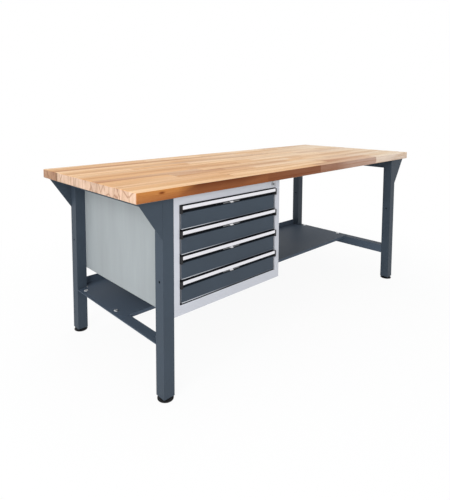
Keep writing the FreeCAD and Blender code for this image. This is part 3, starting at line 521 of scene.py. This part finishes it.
# %% [markdown]
# A handle strip is an aluminium section. Its visible lip is ground bright, with fine lines along
# the drawer, and the rest of it is black: on top that is the strip's own black, and in the finger
# recess behind the lip it is painted shade. Two materials would need the mesh to be split, so one
# material asks where a point lies and which way it faces.

# %% Handle strips
LIP_DEPTH, UPRIGHT_TILT, GROUND_WAVES = 0.0022, 0.6, (6, 900, 900)
# The black is the strip's own black on top and painted shade in the recess behind the lip.
BLACK_AND_RECESS_SHADE, STRIP_LINE, STRIP_BRIGHT = (0.010, 0.010, 0.013), (0.79, 0.79, 0.83), (0.87, 0.87, 0.91)


def ground_strip(strip):
    """Bright metal on the upright face of the lip, black elsewhere, which in the recess is painted
    shade.
    """
    finish, tree, shader, where = new_finish("handle_strip")
    facing = new_node(tree, "ShaderNodeTexCoord").outputs["Normal"]
    tilt = math_node(tree, "ABSOLUTE", parts_of(tree, facing)["Z"])
    upright = math_node(tree, "LESS_THAN", tilt, UPRIGHT_TILT)
    depth = parts_of(tree, where)["Y"]
    in_lip = math_node(tree, "LESS_THAN", depth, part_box(strip)[0].y + LIP_DEPTH)
    bare = math_node(tree, "MULTIPLY", upright, in_lip)
    lines = noise(tree, where, GROUND_WAVES, detail=3.0, roughness=0.6)
    metal = ramp(tree, lines, ((NOISE_LOW, STRIP_LINE), (NOISE_HIGH, STRIP_BRIGHT)))
    shader.inputs["Specular IOR Level"].default_value = 0.08
    tree.links.new(bare, shader.inputs["Metallic"])
    lead_in(tree, shader, blended(tree, bare, BLACK_AND_RECESS_SHADE, metal), spread(tree, lines, 0.30, 0.44))
    bump(tree, shader, lines, METAL_DEPTH, strength=0.3)
    return finish


handle_strip = ground_strip("drawer_1_handle")
print("handle strip:", len(handle_strip.node_tree.nodes), "nodes")

# %% [markdown]
# The catch is a bent nickel spring in the middle of the finger recess. The lower part of the tab in
# its middle carries a painted highlight, the wings beside it are darker with painted shade, and the
# upper part, behind the lip, is black with the painted shadow of the lip. Smooth steps along the
# drawer and up the catch mix these, and each catch has a finish of its own, because the steps
# start at its own lower edge.

# %% Catches
TAB_ENDS, WING_STARTS, TAB_WAVES = 0.008, 0.011, 160.0
LIP_SHADOW_STARTS, LIP_SHADOW_FULL = 0.0036, 0.0052
# Painted highlight in the tab's middle, painted shade on the wings, painted shadow of the lip
# above.
HIGHLIGHT_NICKEL, HIGHLIGHT_PEAK = (0.91, 0.91, 0.93), (0.97, 0.97, 0.98)
SHADED_WING_GREY, LIP_SHADOW_BLACK = (0.20, 0.205, 0.215), (0.020, 0.020, 0.023)


def catch_with_painted_light(catch):
    """Nickel: a painted highlight in the middle, painted shade beside it, painted shadow above."""
    finish, tree, shader, where = new_finish(catch + "_nickel")
    shader.inputs["Metallic"].default_value = 1.0
    low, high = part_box(catch)
    place = parts_of(tree, where)
    aside = math_node(tree, "SUBTRACT", place["X"], (low.x + high.x) / 2)
    wing_shade = fade(tree, math_node(tree, "ABSOLUTE", aside), TAB_ENDS, WING_STARTS)
    lip_shadow = fade(tree, place["Z"], low.z + LIP_SHADOW_STARTS, low.z + LIP_SHADOW_FULL)
    cloud = noise(tree, where, TAB_WAVES, detail=3.0)
    painted_glint = ramp(tree, cloud, ((NOISE_LOW, HIGHLIGHT_NICKEL), (NOISE_HIGH, HIGHLIGHT_PEAK)))
    lit_tab_and_wings = blended(tree, wing_shade, painted_glint, SHADED_WING_GREY)
    roughness = math_node(tree, "ADD", math_node(tree, "MULTIPLY", wing_shade, 0.2),
                          spread(tree, cloud, 0.18, 0.28))
    lead_in(tree, shader, blended(tree, lip_shadow, lit_tab_and_wings, LIP_SHADOW_BLACK), roughness)
    bump(tree, shader, cloud, METAL_DEPTH, strength=0.3)
    return finish


catch_finishes = {catch: catch_with_painted_light(catch) for catch in named("_catch")}
print("catches:", len(catch_finishes), "finishes")

# %% [markdown]
# Feet and handle ends are black mouldings. The steel mould was spark eroded, which prints a fine
# dull grain on the plastic. A noise of about a millimetre makes that grain, and a broad one makes
# the rubbed, slightly greyer places.

# %% Black mouldings
RUBBED_WAVES, GRAIN_WAVES, GRAIN_DEPTH = 30.0, 1100.0, 0.00008
BLACK, RUBBED_BLACK = (0.010, 0.010, 0.011), (0.026, 0.026, 0.028)


def moulded(name, colour, rubbed):
    """Black plastic with a fine grain and rubbed places."""
    finish, tree, shader, where = new_finish(name)
    shader.inputs["Specular IOR Level"].default_value = 0.2
    broad = noise(tree, where, RUBBED_WAVES, detail=4.0)
    stops = ((0.35, colour), (0.75, rubbed))
    lead_in(tree, shader, ramp(tree, broad, stops), spread(tree, broad, 0.48, 0.62))
    bump(tree, shader, noise(tree, where, GRAIN_WAVES, detail=2.0), GRAIN_DEPTH, strength=0.5)
    return finish


black_moulding = moulded("black_moulding", BLACK, RUBBED_BLACK)
print("moulding:", black_moulding.name)

# %% [markdown]
# Every solid carries the name of its finish in the record, so one table dresses them all. The face
# frame is a lighter grey than the sheets of the case behind it, whose darker grey is painted shade
# for the shade under the top. The shelf and the lower rails are a little lighter than the legs, as
# painted light under the top. So these and some small pieces have a table of their own. The entry
# for wood only fills the first table: a panel of staves takes the worktop's place below.

# %% Dress the solids
FINISHES = {"dark_paint": anthracite, "pale_paint": case_grey, "aluminium": handle_strip,
            "black_plastic": black_moulding, "zinc_steel": zinc, "bright_steel": nickel,
            "chrome": chrome, "wood": case_grey}
SPECIAL = {"cabinet_face_frame": frame_grey, "lower_shelf": lightened_shelf_coat, "lock_plug": plug_steel,
           **{name: lightened_shelf_coat for name in named("_lower_rail")},
           **{name: drawer_coat for name in named("_front")}, **catch_finishes}


def dress(name, finish):
    """Give a solid its finish without touching its mesh."""
    for place in frame["nodes"][name].material_slots:
        place.link = "OBJECT"
        place.material = finish


subparts = frame["record"]["subparts"]
for row in subparts:
    dress(row["node"], SPECIAL.get(row["node"], FINISHES[row["material_slot"]]))
print("dressed", len(subparts), "solids,", len(SPECIAL), "by their own names")

# %% [markdown]
# Under the lowest drawer the photograph shows a dark gap, wide enough for a rag. The solid front
# reaches down to a millimetre above the face frame. A copy of it, with its lower edge and bead
# lifted by the width of the gap, takes its place and slides with the same drawer.

# %% Lowest drawer front
def shortened_front(node, body, lift, bead):
    """A copy of a front whose lower edge, up to the bead's height, is lifted."""
    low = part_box(node)[0]
    mesh = frame["nodes"][node].data.copy()
    mesh.name = "lowest_front"
    for corner in mesh.vertices:
        if corner.co.z < low.z + bead:
            corner.co.z += lift
    mesh.materials.clear()
    mesh.materials.append(drawer_coat)
    front = new_object("lowest_front", mesh)
    soften_piece(front, FRONT_ROUND)
    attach(front, body)
    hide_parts(node)
    return front


lowest_front = shortened_front("drawer_4_front", "drawer_4", lift=0.004, bead=0.0031)
print("lowest front:", len(lowest_front.data.polygons), "faces")

# %% [markdown]
# The shelf is held by round-headed bolts with a hexagon socket, and nuts below the rails. At this
# size a plain cone would look like a rivet, so each bolt is turned from a profile round its axis,
# and a ring may be a hexagon instead of a circle, which gives the socket and the nut.

# %% Turning
import bmesh

SIDES = 36
SHARP_TURN = math.radians(32)
SOCKET_HALF = 0.003


def hexagon(half_flats):
    """The radius of a hexagon at an angle, from half its width across flats."""
    return lambda angle: half_flats / math.cos((angle % (math.pi / 3)) - math.pi / 6)


def turn(sheet, centre, profile):
    """Spin (radius, height) pairs round an upright axis and close both ends."""
    rings = []
    for radius, height in profile:
        ring = []
        for step in range(SIDES):
            angle = 2 * math.pi * step / SIDES
            reach = radius(angle) if callable(radius) else radius
            ring.append(sheet.verts.new((centre[0] + reach * math.cos(angle),
                                         centre[1] + reach * math.sin(angle), height)))
        rings.append(ring)
    for low, high in zip(rings, rings[1:]):
        for step in range(SIDES):
            after = (step + 1) % SIDES
            sheet.faces.new((low[step], low[after], high[after], high[step]))
    sheet.faces.new(rings[0][::-1])
    sheet.faces.new(rings[-1])


def turned_mesh(name, sheet):
    """The turned faces as a mesh, smooth apart from its sharp turns."""
    mesh = bpy.data.meshes.new(name)
    sheet.to_mesh(mesh)
    sheet.free()
    mesh.polygons.foreach_set("use_smooth", [True] * len(mesh.polygons))
    mesh.set_sharp_from_angle(angle=SHARP_TURN)
    return mesh


print("the socket is", 2000 * SOCKET_HALF, "mm across flats and",
      round(2000 * hexagon(SOCKET_HALF)(0), 1), "mm across corners")

# %% Shelf bolts
CHAMFER, NUT_CHAMFER, HEAD_LIP = 0.0008, 0.0002, 0.0003
DOME_STARTS, DOME_ANGLES = 0.2, (0.0, 0.25, 0.5, 0.75, 0.98)
SOCKET_RIM, RIM_DROP, SOCKET_FLOOR = 0.0043, 0.0001, 0.0015


def bolt_set(node, head_height, head_radius, shank_radius, nut_half, nut_height, tip):
    """The four bolts and nuts of the shelf, where the solids stand."""
    low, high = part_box(node)
    seat, nut_low = high.z - head_height, low.z + tip
    nut_high = nut_low + nut_height
    socket, hex_nut = hexagon(SOCKET_HALF), hexagon(nut_half)
    dome = [(head_radius * math.cos(lift),
             seat + head_height * (DOME_STARTS + (1 - DOME_STARTS) * math.sin(lift)))
            for lift in DOME_ANGLES]
    bolt = [(shank_radius - CHAMFER, low.z), (shank_radius, low.z + CHAMFER), (shank_radius, seat),
            (head_radius - HEAD_LIP, seat), (head_radius, seat + HEAD_LIP), *dome,
            (SOCKET_RIM, high.z - RIM_DROP), (socket, high.z - 2 * RIM_DROP),
            (socket, seat + SOCKET_FLOOR)]
    nut = [(nut_half - NUT_CHAMFER, nut_low), (hex_nut, nut_low + CHAMFER),
           (hex_nut, nut_high - CHAMFER), (nut_half - NUT_CHAMFER, nut_high)]
    sheet = bmesh.new()
    for x in (low.x + head_radius, high.x - head_radius):
        for y in (low.y + head_radius, high.y - head_radius):
            turn(sheet, (x, y), bolt)
            turn(sheet, (x, y), nut)
    mesh = turned_mesh("shelf_bolt_set", sheet)
    mesh.materials.append(bolt_zinc)
    bolts = new_object("shelf_bolt_set", mesh)
    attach(bolts, "bench")
    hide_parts(node)
    return bolts


bolt_zinc = plated("bolt_zinc", (0.80, 0.81, 0.83), gloss=0.30, waves=220, unevenness=0.10)
bolts = bolt_set("shelf_bolts", head_height=0.005, head_radius=0.010, shank_radius=0.004,
                 nut_half=0.0065, nut_height=0.0065, tip=0.003)
print("bolts:", len(bolts.data.polygons), "faces")

# %% [markdown]
# A levelling foot is a black pad moulded round a threaded stud, which screws into the end of its
# leg. The bare solid has a sharp pad and a smooth stud. The same turning gives the pad round edges
# and cuts the thread as rings. A true thread is one long spiral, but rings look the same at this
# pitch and close round the axis without a seam.

# %% Levelling feet
PAD_PROFILE = ((0.0300, 0.0), (0.0316, 0.0005), (0.0320, 0.0014), (0.0320, 0.0034),
               (0.0313, 0.0043), (0.0230, 0.0070), (0.0176, 0.0087), (0.0165, 0.0090),
               (0.0050, 0.0090))
THREAD_PITCH, THREAD_TOP, THREAD_ROOT = 0.00175, 0.0060, 0.0051
THREAD_STEPS = ((THREAD_ROOT, 0.2), (THREAD_TOP, 0.65), (THREAD_TOP, 0.75))


def turned_foot(node):
    """A pad and its threaded stud, in place of one foot."""
    low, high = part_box(node)
    pad_height = PAD_PROFILE[-1][1]
    turns = int((high.z - low.z - pad_height) / THREAD_PITCH)
    profile = [(radius, low.z + height) for radius, height in PAD_PROFILE]
    for step in range(turns):
        height = low.z + pad_height + step * THREAD_PITCH
        profile += [(radius, height + share * THREAD_PITCH) for radius, share in THREAD_STEPS]
    profile.append((THREAD_ROOT, high.z))
    sheet = bmesh.new()
    turn(sheet, ((low.x + high.x) / 2, (low.y + high.y) / 2), profile)
    for face in sheet.faces:
        face.material_index = int(face.calc_center_median().z > low.z + pad_height)
    mesh = turned_mesh(node + "_turned", sheet)
    mesh.materials.append(black_moulding)
    mesh.materials.append(zinc)
    foot = new_object(node + "_turned", mesh)
    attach(foot, node + "_screw")
    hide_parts(node)
    return foot


feet = [turned_foot(node) for node in named("_foot")]
print(len(feet), "feet of", len(feet[0].data.polygons), "faces")

# %% [markdown]
# The worktop is glued from staves of oiled hardwood. Each stave was sawn from another board, so
# each has its own tone and figure, and the ends show the rings. It could be one block with a
# printed pattern, but then the tones would not stop at the joints. Here every stave is a face of
# the panel that carries a tone for its left end and one for its right end, an offset for the
# grain and its own box. The wood is paler towards the right, partly in its own tone and partly as
# painted sheen, for the light that the far part of the top reflects at a grazing angle.

# %% Lay out the staves
LINE_UP = random.Random(11)
DARK_ROW = 12
ROW_WIDTHS = [0.0535] * DARK_ROW + [0.020] + [0.046] * 3
SHORTEST, LONGEST, SHORTEST_LAST = 0.30, 0.80, 0.18
# The paleness towards the right is partly the wood's tone and partly painted sheen.
PALER_FROM, PALE_LEFT, PALE_SLOPE, PALE_CURVE = -0.5, 0.04, 0.20, 0.26
PALE_SPREAD, PALEST = 0.25, 0.92
HONEY, STRAW, AMBER = (0.73, 0.445, 0.225), (0.82, 0.56, 0.33), (0.65, 0.365, 0.17)
RUSSET, CREAM, IVORY = (0.53, 0.275, 0.135), (0.88, 0.755, 0.60), (0.84, 0.69, 0.53)
TAN, SAND, WHEAT = (0.60, 0.37, 0.225), (0.66, 0.45, 0.31), (0.83, 0.60, 0.38)
COPPER, CLAY, OAT = (0.48, 0.24, 0.125), (0.62, 0.39, 0.245), (0.80, 0.60, 0.41)

top_low, top_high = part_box("worktop")
row_starts = [top_low.y + sum(ROW_WIDTHS[:row]) for row in range(len(ROW_WIDTHS))]
CHOSEN_ROWS = {0: ((0.05, STRAW, HONEY), (0.63, TAN, SAND), (top_high.x, IVORY, CREAM)),
               1: ((-0.52, HONEY, AMBER), (0.20, STRAW, WHEAT), (0.66, COPPER, CLAY),
                   (top_high.x, OAT, CREAM))}


def mixed(first, second, share):
    """A colour between two others."""
    return tuple(a + (b - a) * share for a, b in zip(first, second))


def paleness_and_sheen(x):
    """The share of cream in the wood at a place along the top, partly tone and partly painted
    sheen.
    """
    right = max(0.0, x - PALER_FROM)
    return PALE_LEFT + PALE_SLOPE * right + PALE_CURVE * right ** 2


def lay_row(row):
    """The staves of one row, as (start, end, tone at its left, tone at its right)."""
    staves = []
    start = top_low.x
    for end, left, right in CHOSEN_ROWS.get(row, ()):
        staves.append((start, end, left, right))
        start = end
    while start < top_high.x:
        end = start + LINE_UP.uniform(SHORTEST, LONGEST)
        if top_high.x - end < SHORTEST_LAST:
            end = top_high.x
        tone = mixed(LINE_UP.choice((HONEY, HONEY, STRAW, STRAW, AMBER, RUSSET)),
                     LINE_UP.choice((HONEY, STRAW, AMBER)), LINE_UP.uniform(0, 0.5))
        pale = [paleness_and_sheen(x) + LINE_UP.uniform(-PALE_SPREAD, PALE_SPREAD) for x in (start, end)]
        left, right = [mixed(tone, CREAM, max(0.0, min(PALEST, share))) for share in pale]
        staves.append((start, end, left, right))
        start = end
    return staves


rows = [lay_row(row) for row in range(len(ROW_WIDTHS))]
print(sum(len(row) for row in rows), "staves in", len(rows), "rows, up to",
      round(max(ROW_WIDTHS) * 1000, 1), "mm wide")

# %% [markdown]
# The front edge shows the flank of the first row, and there the heartwood lies open: orange at the
# left, nearly chocolate after that, reddish, and then one pale stave at the right. Heartwood has no
# sharp border along a board, so the edge gets a list of tones at places along it, and the faces
# between two places blend them. Two tones at one place make a joint. Towards its lower side the
# edge darkens to ginger, most of all at the left, as painted shade along the lower side. The
# underside was never oiled and has gone grey.

# %% Tones of the edge and of the ends
ORANGE, CHOCOLATE, CHESTNUT = (0.44, 0.180, 0.046), (0.105, 0.025, 0.005), (0.190, 0.064, 0.023)
GINGER_SHADE, FAWN, RAW_GREY = (0.30, 0.110, 0.040), (0.53, 0.375, 0.305), (0.17, 0.175, 0.185)
REDWOOD, ROSE = (0.21, 0.080, 0.039), (0.305, 0.160, 0.106)
BLUSH, PALE = (0.45, 0.30, 0.232), (0.82, 0.69, 0.575)
FRONT_EDGE = ((top_low.x, ORANGE), (-0.87, ORANGE), (-0.77, CHOCOLATE), (-0.52, CHOCOLATE),
              (-0.36, CHESTNUT), (-0.10, REDWOOD), (0.05, REDWOOD), (0.05, ROSE), (0.20, ROSE),
              (0.34, BLUSH), (0.63, FAWN), (0.63, PALE), (top_high.x, PALE))
# The drift to ginger on the lower side of the front edge is painted shade.
DRIFT_BORDER, LEFT_DRIFT, RIGHT_DRIFT, RAW_SHARE = -0.4, 0.8, 0.2, 0.75
END_BEIGE, END_BROWN, END_DARK = (0.62, 0.475, 0.38), (0.365, 0.22, 0.145), (0.20, 0.095, 0.045)
END_TINT, END_DARKEST, END_LIGHTEST = 0.12, 0.90, 1.06


def end_tone(row, tone):
    """The colour of a sawn end: a browner block at the rear, behind one dark narrow stave."""
    wood = END_DARK if row == DARK_ROW else END_BROWN if row > DARK_ROW else END_BEIGE
    return shaded(mixed(wood, tone, END_TINT), LINE_UP.uniform(END_DARKEST, END_LIGHTEST))


def edge_runs(start, end):
    """A front stave's edge, as (start, end, tone at its left, tone at its right)."""
    return [(xa, xb, tone_a, tone_b)
            for (xa, tone_a), (xb, tone_b) in zip(FRONT_EDGE, FRONT_EDGE[1:])
            if xa < xb and start <= xa and xb <= end]


print(len(FRONT_EDGE), "tones along the front edge")

# %% [markdown]
# The panel is one closed skin. A stave's long side also gets the corners of its neighbour's butt
# joints, so that the faces share all their edges and only the outer edges are sharp. The skin is
# put together as plain lists first.

# %% Skin of the panel
def joint_places(row, start, end):
    """Where the corners of a row's edge lie between two places."""
    if row == -1:
        return sorted({x for x, tone in FRONT_EDGE if start < x < end})
    if row == len(rows):
        return []
    return sorted({x for stave in rows[row] for x in stave[:2] if start < x < end})


def panel_skin():
    """Points, rings of points, the tone of every corner, and what each ring carries."""
    points, index_of, rings, tones, carried = [], {}, [], [], []

    def point(corner):
        """The number of a point, the same for all faces that meet there."""
        key = tuple(round(value, 6) for value in corner)
        if key not in index_of:
            index_of[key] = len(points)
            points.append(key)
        return index_of[key]

    def add_ring(corners, blend, own, sawn, drift=0.0):
        """One face, with the tones of its corners."""
        start, end, left, right = blend
        rings.append([point(corner) for corner in corners])
        for x, y, z in corners:
            tone = mixed(left, right, (x - start) / (end - start))
            tones.append(mixed(tone, GINGER_SHADE, drift) if z == top_low.z else tone)
        carried.append((*own, sawn))

    def add_side(xa, ya, xb, yb, blend, own, sawn, drift=0.0):
        """An upright face between two places."""
        add_ring([(xa, ya, top_low.z), (xb, yb, top_low.z), (xb, yb, top_high.z),
                  (xa, ya, top_high.z)], blend, own, sawn, drift)

    for row, line in enumerate(rows):
        y0, y1 = row_starts[row], row_starts[row] + ROW_WIDTHS[row]
        for start, end, left, right in line:
            near = [start, *joint_places(row - 1, start, end), end]
            far = [start, *joint_places(row + 1, start, end), end]
            own = ([LINE_UP.uniform(-3, 3) for axis in range(3)],
                   ((start + end) / 2, (end - start) / 2, (y0 + y1) / 2), (y1 - y0) / 2)
            blend = (start, end, left, right)
            outline = [(x, y0) for x in near] + [(x, y1) for x in reversed(far)]
            add_ring([(x, y, top_high.z) for x, y in outline], blend, own, 0)
            raw = (start, end, *(mixed(tone, RAW_GREY, RAW_SHARE) for tone in (left, right)))
            add_ring([(x, y, top_low.z) for x, y in reversed(outline)], raw, own, 0)
            if row == 0:
                for run in edge_runs(start, end):
                    drift = LEFT_DRIFT if run[0] < DRIFT_BORDER else RIGHT_DRIFT
                    add_side(run[0], y0, run[1], y0, run, own, 0, drift)
            if row == len(rows) - 1:
                add_side(end, y1, start, y1, blend, own, 0)
            if start == top_low.x:
                sawn = end_tone(row, left)
                add_side(start, y1, start, y0, (start, end, sawn, sawn), own, 1)
            if end == top_high.x:
                sawn = end_tone(row, right)
                add_side(end, y0, end, y1, (start, end, sawn, sawn), own, 1)
    return points, rings, tones, carried


points, rings, tones, carried = panel_skin()
print(len(points), "points,", len(rings), "faces in the skin")

# %% [markdown]
# The lists now become a mesh. Blender keeps further values on a mesh as named attributes, and a
# material can read them: the tones lie on the corners of the faces, so that a stave blends from end
# to end, and its offset and box lie on the faces. The sharp outer edges are rounded by a Bevel
# modifier, as sandpaper does.

# %% Build the panel
SANDED_ROUND, SANDED_ANGLE = 0.0025, math.radians(60)


def build_panel():
    """The skin as one piece, with its attributes and its sanded edge."""
    mesh = bpy.data.meshes.new("worktop_staves")
    mesh.from_pydata(points, [], rings)
    mesh.polygons.foreach_set("material_index", [one[3] for one in carried])
    tone = mesh.attributes.new("stave_tone", "FLOAT_COLOR", "CORNER")
    tone.data.foreach_set("color", [v for one in tones for v in (*one, 1.0)])
    for name, place in (("stave_shift", 0), ("stave_box", 1)):
        layer = mesh.attributes.new(name, "FLOAT_VECTOR", "FACE")
        layer.data.foreach_set("vector", [v for one in carried for v in one[place]])
    half = mesh.attributes.new("stave_half", "FLOAT", "FACE")
    half.data.foreach_set("value", [one[2] for one in carried])
    panel = new_object("worktop_staves", mesh)
    edge = panel.modifiers.new("sanded_edge", "BEVEL")
    edge.width = SANDED_ROUND
    edge.segments = 3
    edge.limit_method = "ANGLE"
    edge.angle_limit = SANDED_ANGLE
    edge.harden_normals = True
    return panel


panel = build_panel()
print(len(panel.data.polygons), "faces in the panel")

# %% [markdown]
# Wood colour has three scales: the tone of the stave, broad bands of growth along it, and fine
# pores drawn out along the grain. Each pattern is stretched along the stave and moved by the
# stave's own offset, so that no figure runs across a joint. Glue lines are a thin dark line where
# a point lies next to the edge of its stave. Cells of a Voronoi texture give a few small knots, and
# one larger knot lies open on the front edge near its left end.

# %% Layers of the grain
WHITE, GLUE_BROWN = (1, 1, 1), (0.60, 0.50, 0.42)
GLUE_STARTS, GLUE_ENDS = 0.0001, 0.0007
KNOT_WAVES, KNOT_SHARE, KNOT_CORE, KNOT_RIM = (3, 15, 15), 0.22, 0.03, 0.13


def attribute(tree, name, output):
    """A value that the mesh carries, by its name."""
    node = new_node(tree, "ShaderNodeAttribute", attribute_name=name)
    return node.outputs[output]


def along_stave(tree, where):
    """The piece's coordinates, moved by each stave's own offset."""
    node = new_node(tree, "ShaderNodeVectorMath", operation="ADD")
    tree.links.new(where, node.inputs[0])
    tree.links.new(attribute(tree, "stave_shift", "Vector"), node.inputs[1])
    return node.outputs["Vector"]


def multiplied(tree, first, second):
    """One colour darkened by another."""
    node = new_node(tree, "ShaderNodeMix", data_type="RGBA", blend_type="MULTIPLY")
    node.inputs["Factor"].default_value = 1.0
    tree.links.new(first, node.inputs["A"])
    tree.links.new(second, node.inputs["B"])
    return node.outputs["Result"]


def glue_line(tree, where, long_face):
    """White inside a stave, darker next to its edge."""
    place = parts_of(tree, where)
    box = parts_of(tree, attribute(tree, "stave_box", "Vector"))
    across = math_node(tree, "ABSOLUTE", math_node(tree, "SUBTRACT", place["Y"], box["Z"]))
    gap = math_node(tree, "SUBTRACT", attribute(tree, "stave_half", "Fac"), across)
    if long_face:
        facing = new_node(tree, "ShaderNodeNewGeometry").outputs["True Normal"]
        flat = math_node(tree, "ABSOLUTE", parts_of(tree, facing)["Z"])
        gap = math_node(tree, "ADD", gap, math_node(tree, "SUBTRACT", 1.0, flat))
        along = math_node(tree, "ABSOLUTE", math_node(tree, "SUBTRACT", place["X"], box["X"]))
        gap = math_node(tree, "MINIMUM", gap, math_node(tree, "SUBTRACT", box["Y"], along))
    return ramp(tree, fade(tree, gap, GLUE_STARTS, GLUE_ENDS), ((0.0, GLUE_BROWN), (1.0, WHITE)))


def knots(tree, line):
    """White with a few small brown marks, drawn out along the grain."""
    node = new_node(tree, "ShaderNodeTexVoronoi")
    node.inputs["Scale"].default_value = 1.0
    tree.links.new(stretched(tree, line, KNOT_WAVES), node.inputs["Vector"])
    chosen = math_node(tree, "LESS_THAN", parts_of(tree, node.outputs["Color"])["X"], KNOT_SHARE)
    core = fade(tree, node.outputs["Distance"], KNOT_CORE, KNOT_RIM, 1.0, 0.0)
    return ramp(tree, math_node(tree, "MULTIPLY", chosen, core),
                ((0.0, WHITE), (0.5, (0.82, 0.72, 0.62)), (1.0, (0.52, 0.36, 0.24))))


def branch_knot(tree, where, centre, reach):
    """White with one brown ellipse, where a branch once grew."""
    away = new_node(tree, "ShaderNodeVectorMath", operation="SUBTRACT")
    away.inputs[1].default_value = centre
    tree.links.new(where, away.inputs[0])
    scaled = stretched(tree, away.outputs["Vector"], [1 / length for length in reach])
    size = new_node(tree, "ShaderNodeVectorMath", operation="LENGTH")
    tree.links.new(scaled, size.inputs[0])
    return ramp(tree, fade(tree, size.outputs["Value"], 0.15, 1.0),
                ((0.0, (0.36, 0.22, 0.14)), (0.5, (0.70, 0.55, 0.45)), (1.0, WHITE)))


print("glue lines of up to", 1000 * GLUE_ENDS, "mm, knots in", KNOT_SHARE, "of the cells")

# %% Long grain
BAND_WAVES, STREAK_WAVES = (1.6, 26, 26), (1.1, 90, 90)
FIBRE_WAVES, PORE_WAVES = (9, 420, 420), (60, 1500, 1500)
EDGE_KNOT, EDGE_KNOT_REACH = (-0.942, top_low.y, top_high.z - 0.012), (0.020, 0.010, 0.007)
FIBRE_DEPTH = 0.00012


def long_grain():
    """Oiled wood along the grain: the stave's tone, darkened by one layer after another."""
    finish, tree, shader, where = new_finish("oiled_stave")
    shader.inputs["Specular IOR Level"].default_value = 0.12
    line = along_stave(tree, where)
    broad = noise(tree, line, BAND_WAVES, detail=4.0, roughness=0.55)
    streaks = noise(tree, line, STREAK_WAVES, detail=3.0, roughness=0.6)
    fine = noise(tree, line, FIBRE_WAVES, detail=4.0, roughness=0.65)
    pores = noise(tree, line, PORE_WAVES, detail=2.0)
    colour = attribute(tree, "stave_tone", "Color")
    for layer in (ramp(tree, broad, ((0.3, (0.82, 0.68, 0.52)), (0.55, WHITE),
                                     (0.75, (1.08, 1.09, 1.09)))),
                  ramp(tree, streaks, ((0.28, (0.70, 0.48, 0.30)), (0.42, WHITE))),
                  ramp(tree, fine, ((0.3, (0.88, 0.82, 0.76)), (0.6, (1.03, 1.03, 1.03)))),
                  ramp(tree, pores, ((0.28, (0.74, 0.64, 0.56)), (0.40, WHITE))),
                  branch_knot(tree, where, EDGE_KNOT, EDGE_KNOT_REACH),
                  knots(tree, line), glue_line(tree, where, long_face=True)):
        colour = multiplied(tree, colour, layer)
    lead_in(tree, shader, colour, spread(tree, fine, 0.46, 0.60))
    bump(tree, shader, fine, FIBRE_DEPTH, strength=0.4)
    return finish


oiled_stave = long_grain()
panel.data.materials.append(oiled_stave)
print("long grain:", len(oiled_stave.node_tree.nodes), "nodes")

# %% [markdown]
# On the sawn ends the rings of growth are cut across and stand nearly upright. A Wave texture in
# bands draws them, bent by its own distortion, and each stave's offset changes them from stave to
# stave. Ends soak up more oil and keep saw dust, so they are paler and duller than the faces, and
# fine drying checks open between the rings, drawn by the cell borders of a Voronoi texture.

# %% End grain
GROWTH_WAVE = {"Scale": 36.0, "Distortion": 5.0, "Detail": 3.0, "Detail Scale": 0.5}
SPECK_WAVES, PATCH_WAVES, CHECK_WAVES = 900.0, 18.0, (1, 24, 9)
SAW_DEPTH = 0.00015


def end_grain():
    """Wood across the grain: the end's own tone, darkened by rings, checks, specks and patches."""
    finish, tree, shader, where = new_finish("sawn_stave_end")
    line = along_stave(tree, where)
    growth = new_node(tree, "ShaderNodeTexWave", bands_direction="Y")
    for name, value in GROWTH_WAVE.items():
        growth.inputs[name].default_value = value
    tree.links.new(line, growth.inputs["Vector"])
    specks = noise(tree, line, SPECK_WAVES, detail=2.0)
    patches = noise(tree, line, PATCH_WAVES, detail=3.0)
    cells = new_node(tree, "ShaderNodeTexVoronoi", feature="DISTANCE_TO_EDGE")
    cells.inputs["Scale"].default_value = 1.0
    tree.links.new(stretched(tree, line, CHECK_WAVES), cells.inputs["Vector"])
    bands, checks = growth.outputs["Fac"], cells.outputs["Distance"]
    colour = attribute(tree, "stave_tone", "Color")
    for layer in (ramp(tree, bands, ((0.2, (0.82, 0.74, 0.68)), (0.8, (1.04, 1.04, 1.04)))),
                  ramp(tree, checks, ((0.0, (0.56, 0.42, 0.35)), (0.05, WHITE))),
                  ramp(tree, specks, ((0.3, (0.82, 0.78, 0.74)), (0.6, (1.03, 1.03, 1.03)))),
                  ramp(tree, patches, ((0.35, (0.88, 0.84, 0.80)), (0.65, (1.05, 1.05, 1.05)))),
                  glue_line(tree, where, long_face=False)):
        colour = multiplied(tree, colour, layer)
    lead_in(tree, shader, colour, spread(tree, specks, 0.55, 0.75))
    bump(tree, shader, specks, SAW_DEPTH, strength=0.4)
    return finish


sawn_end = end_grain()
panel.data.materials.append(sawn_end)
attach(panel, "bench")
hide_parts("worktop")
print("end grain:", len(sawn_end.node_tree.nodes), "nodes")
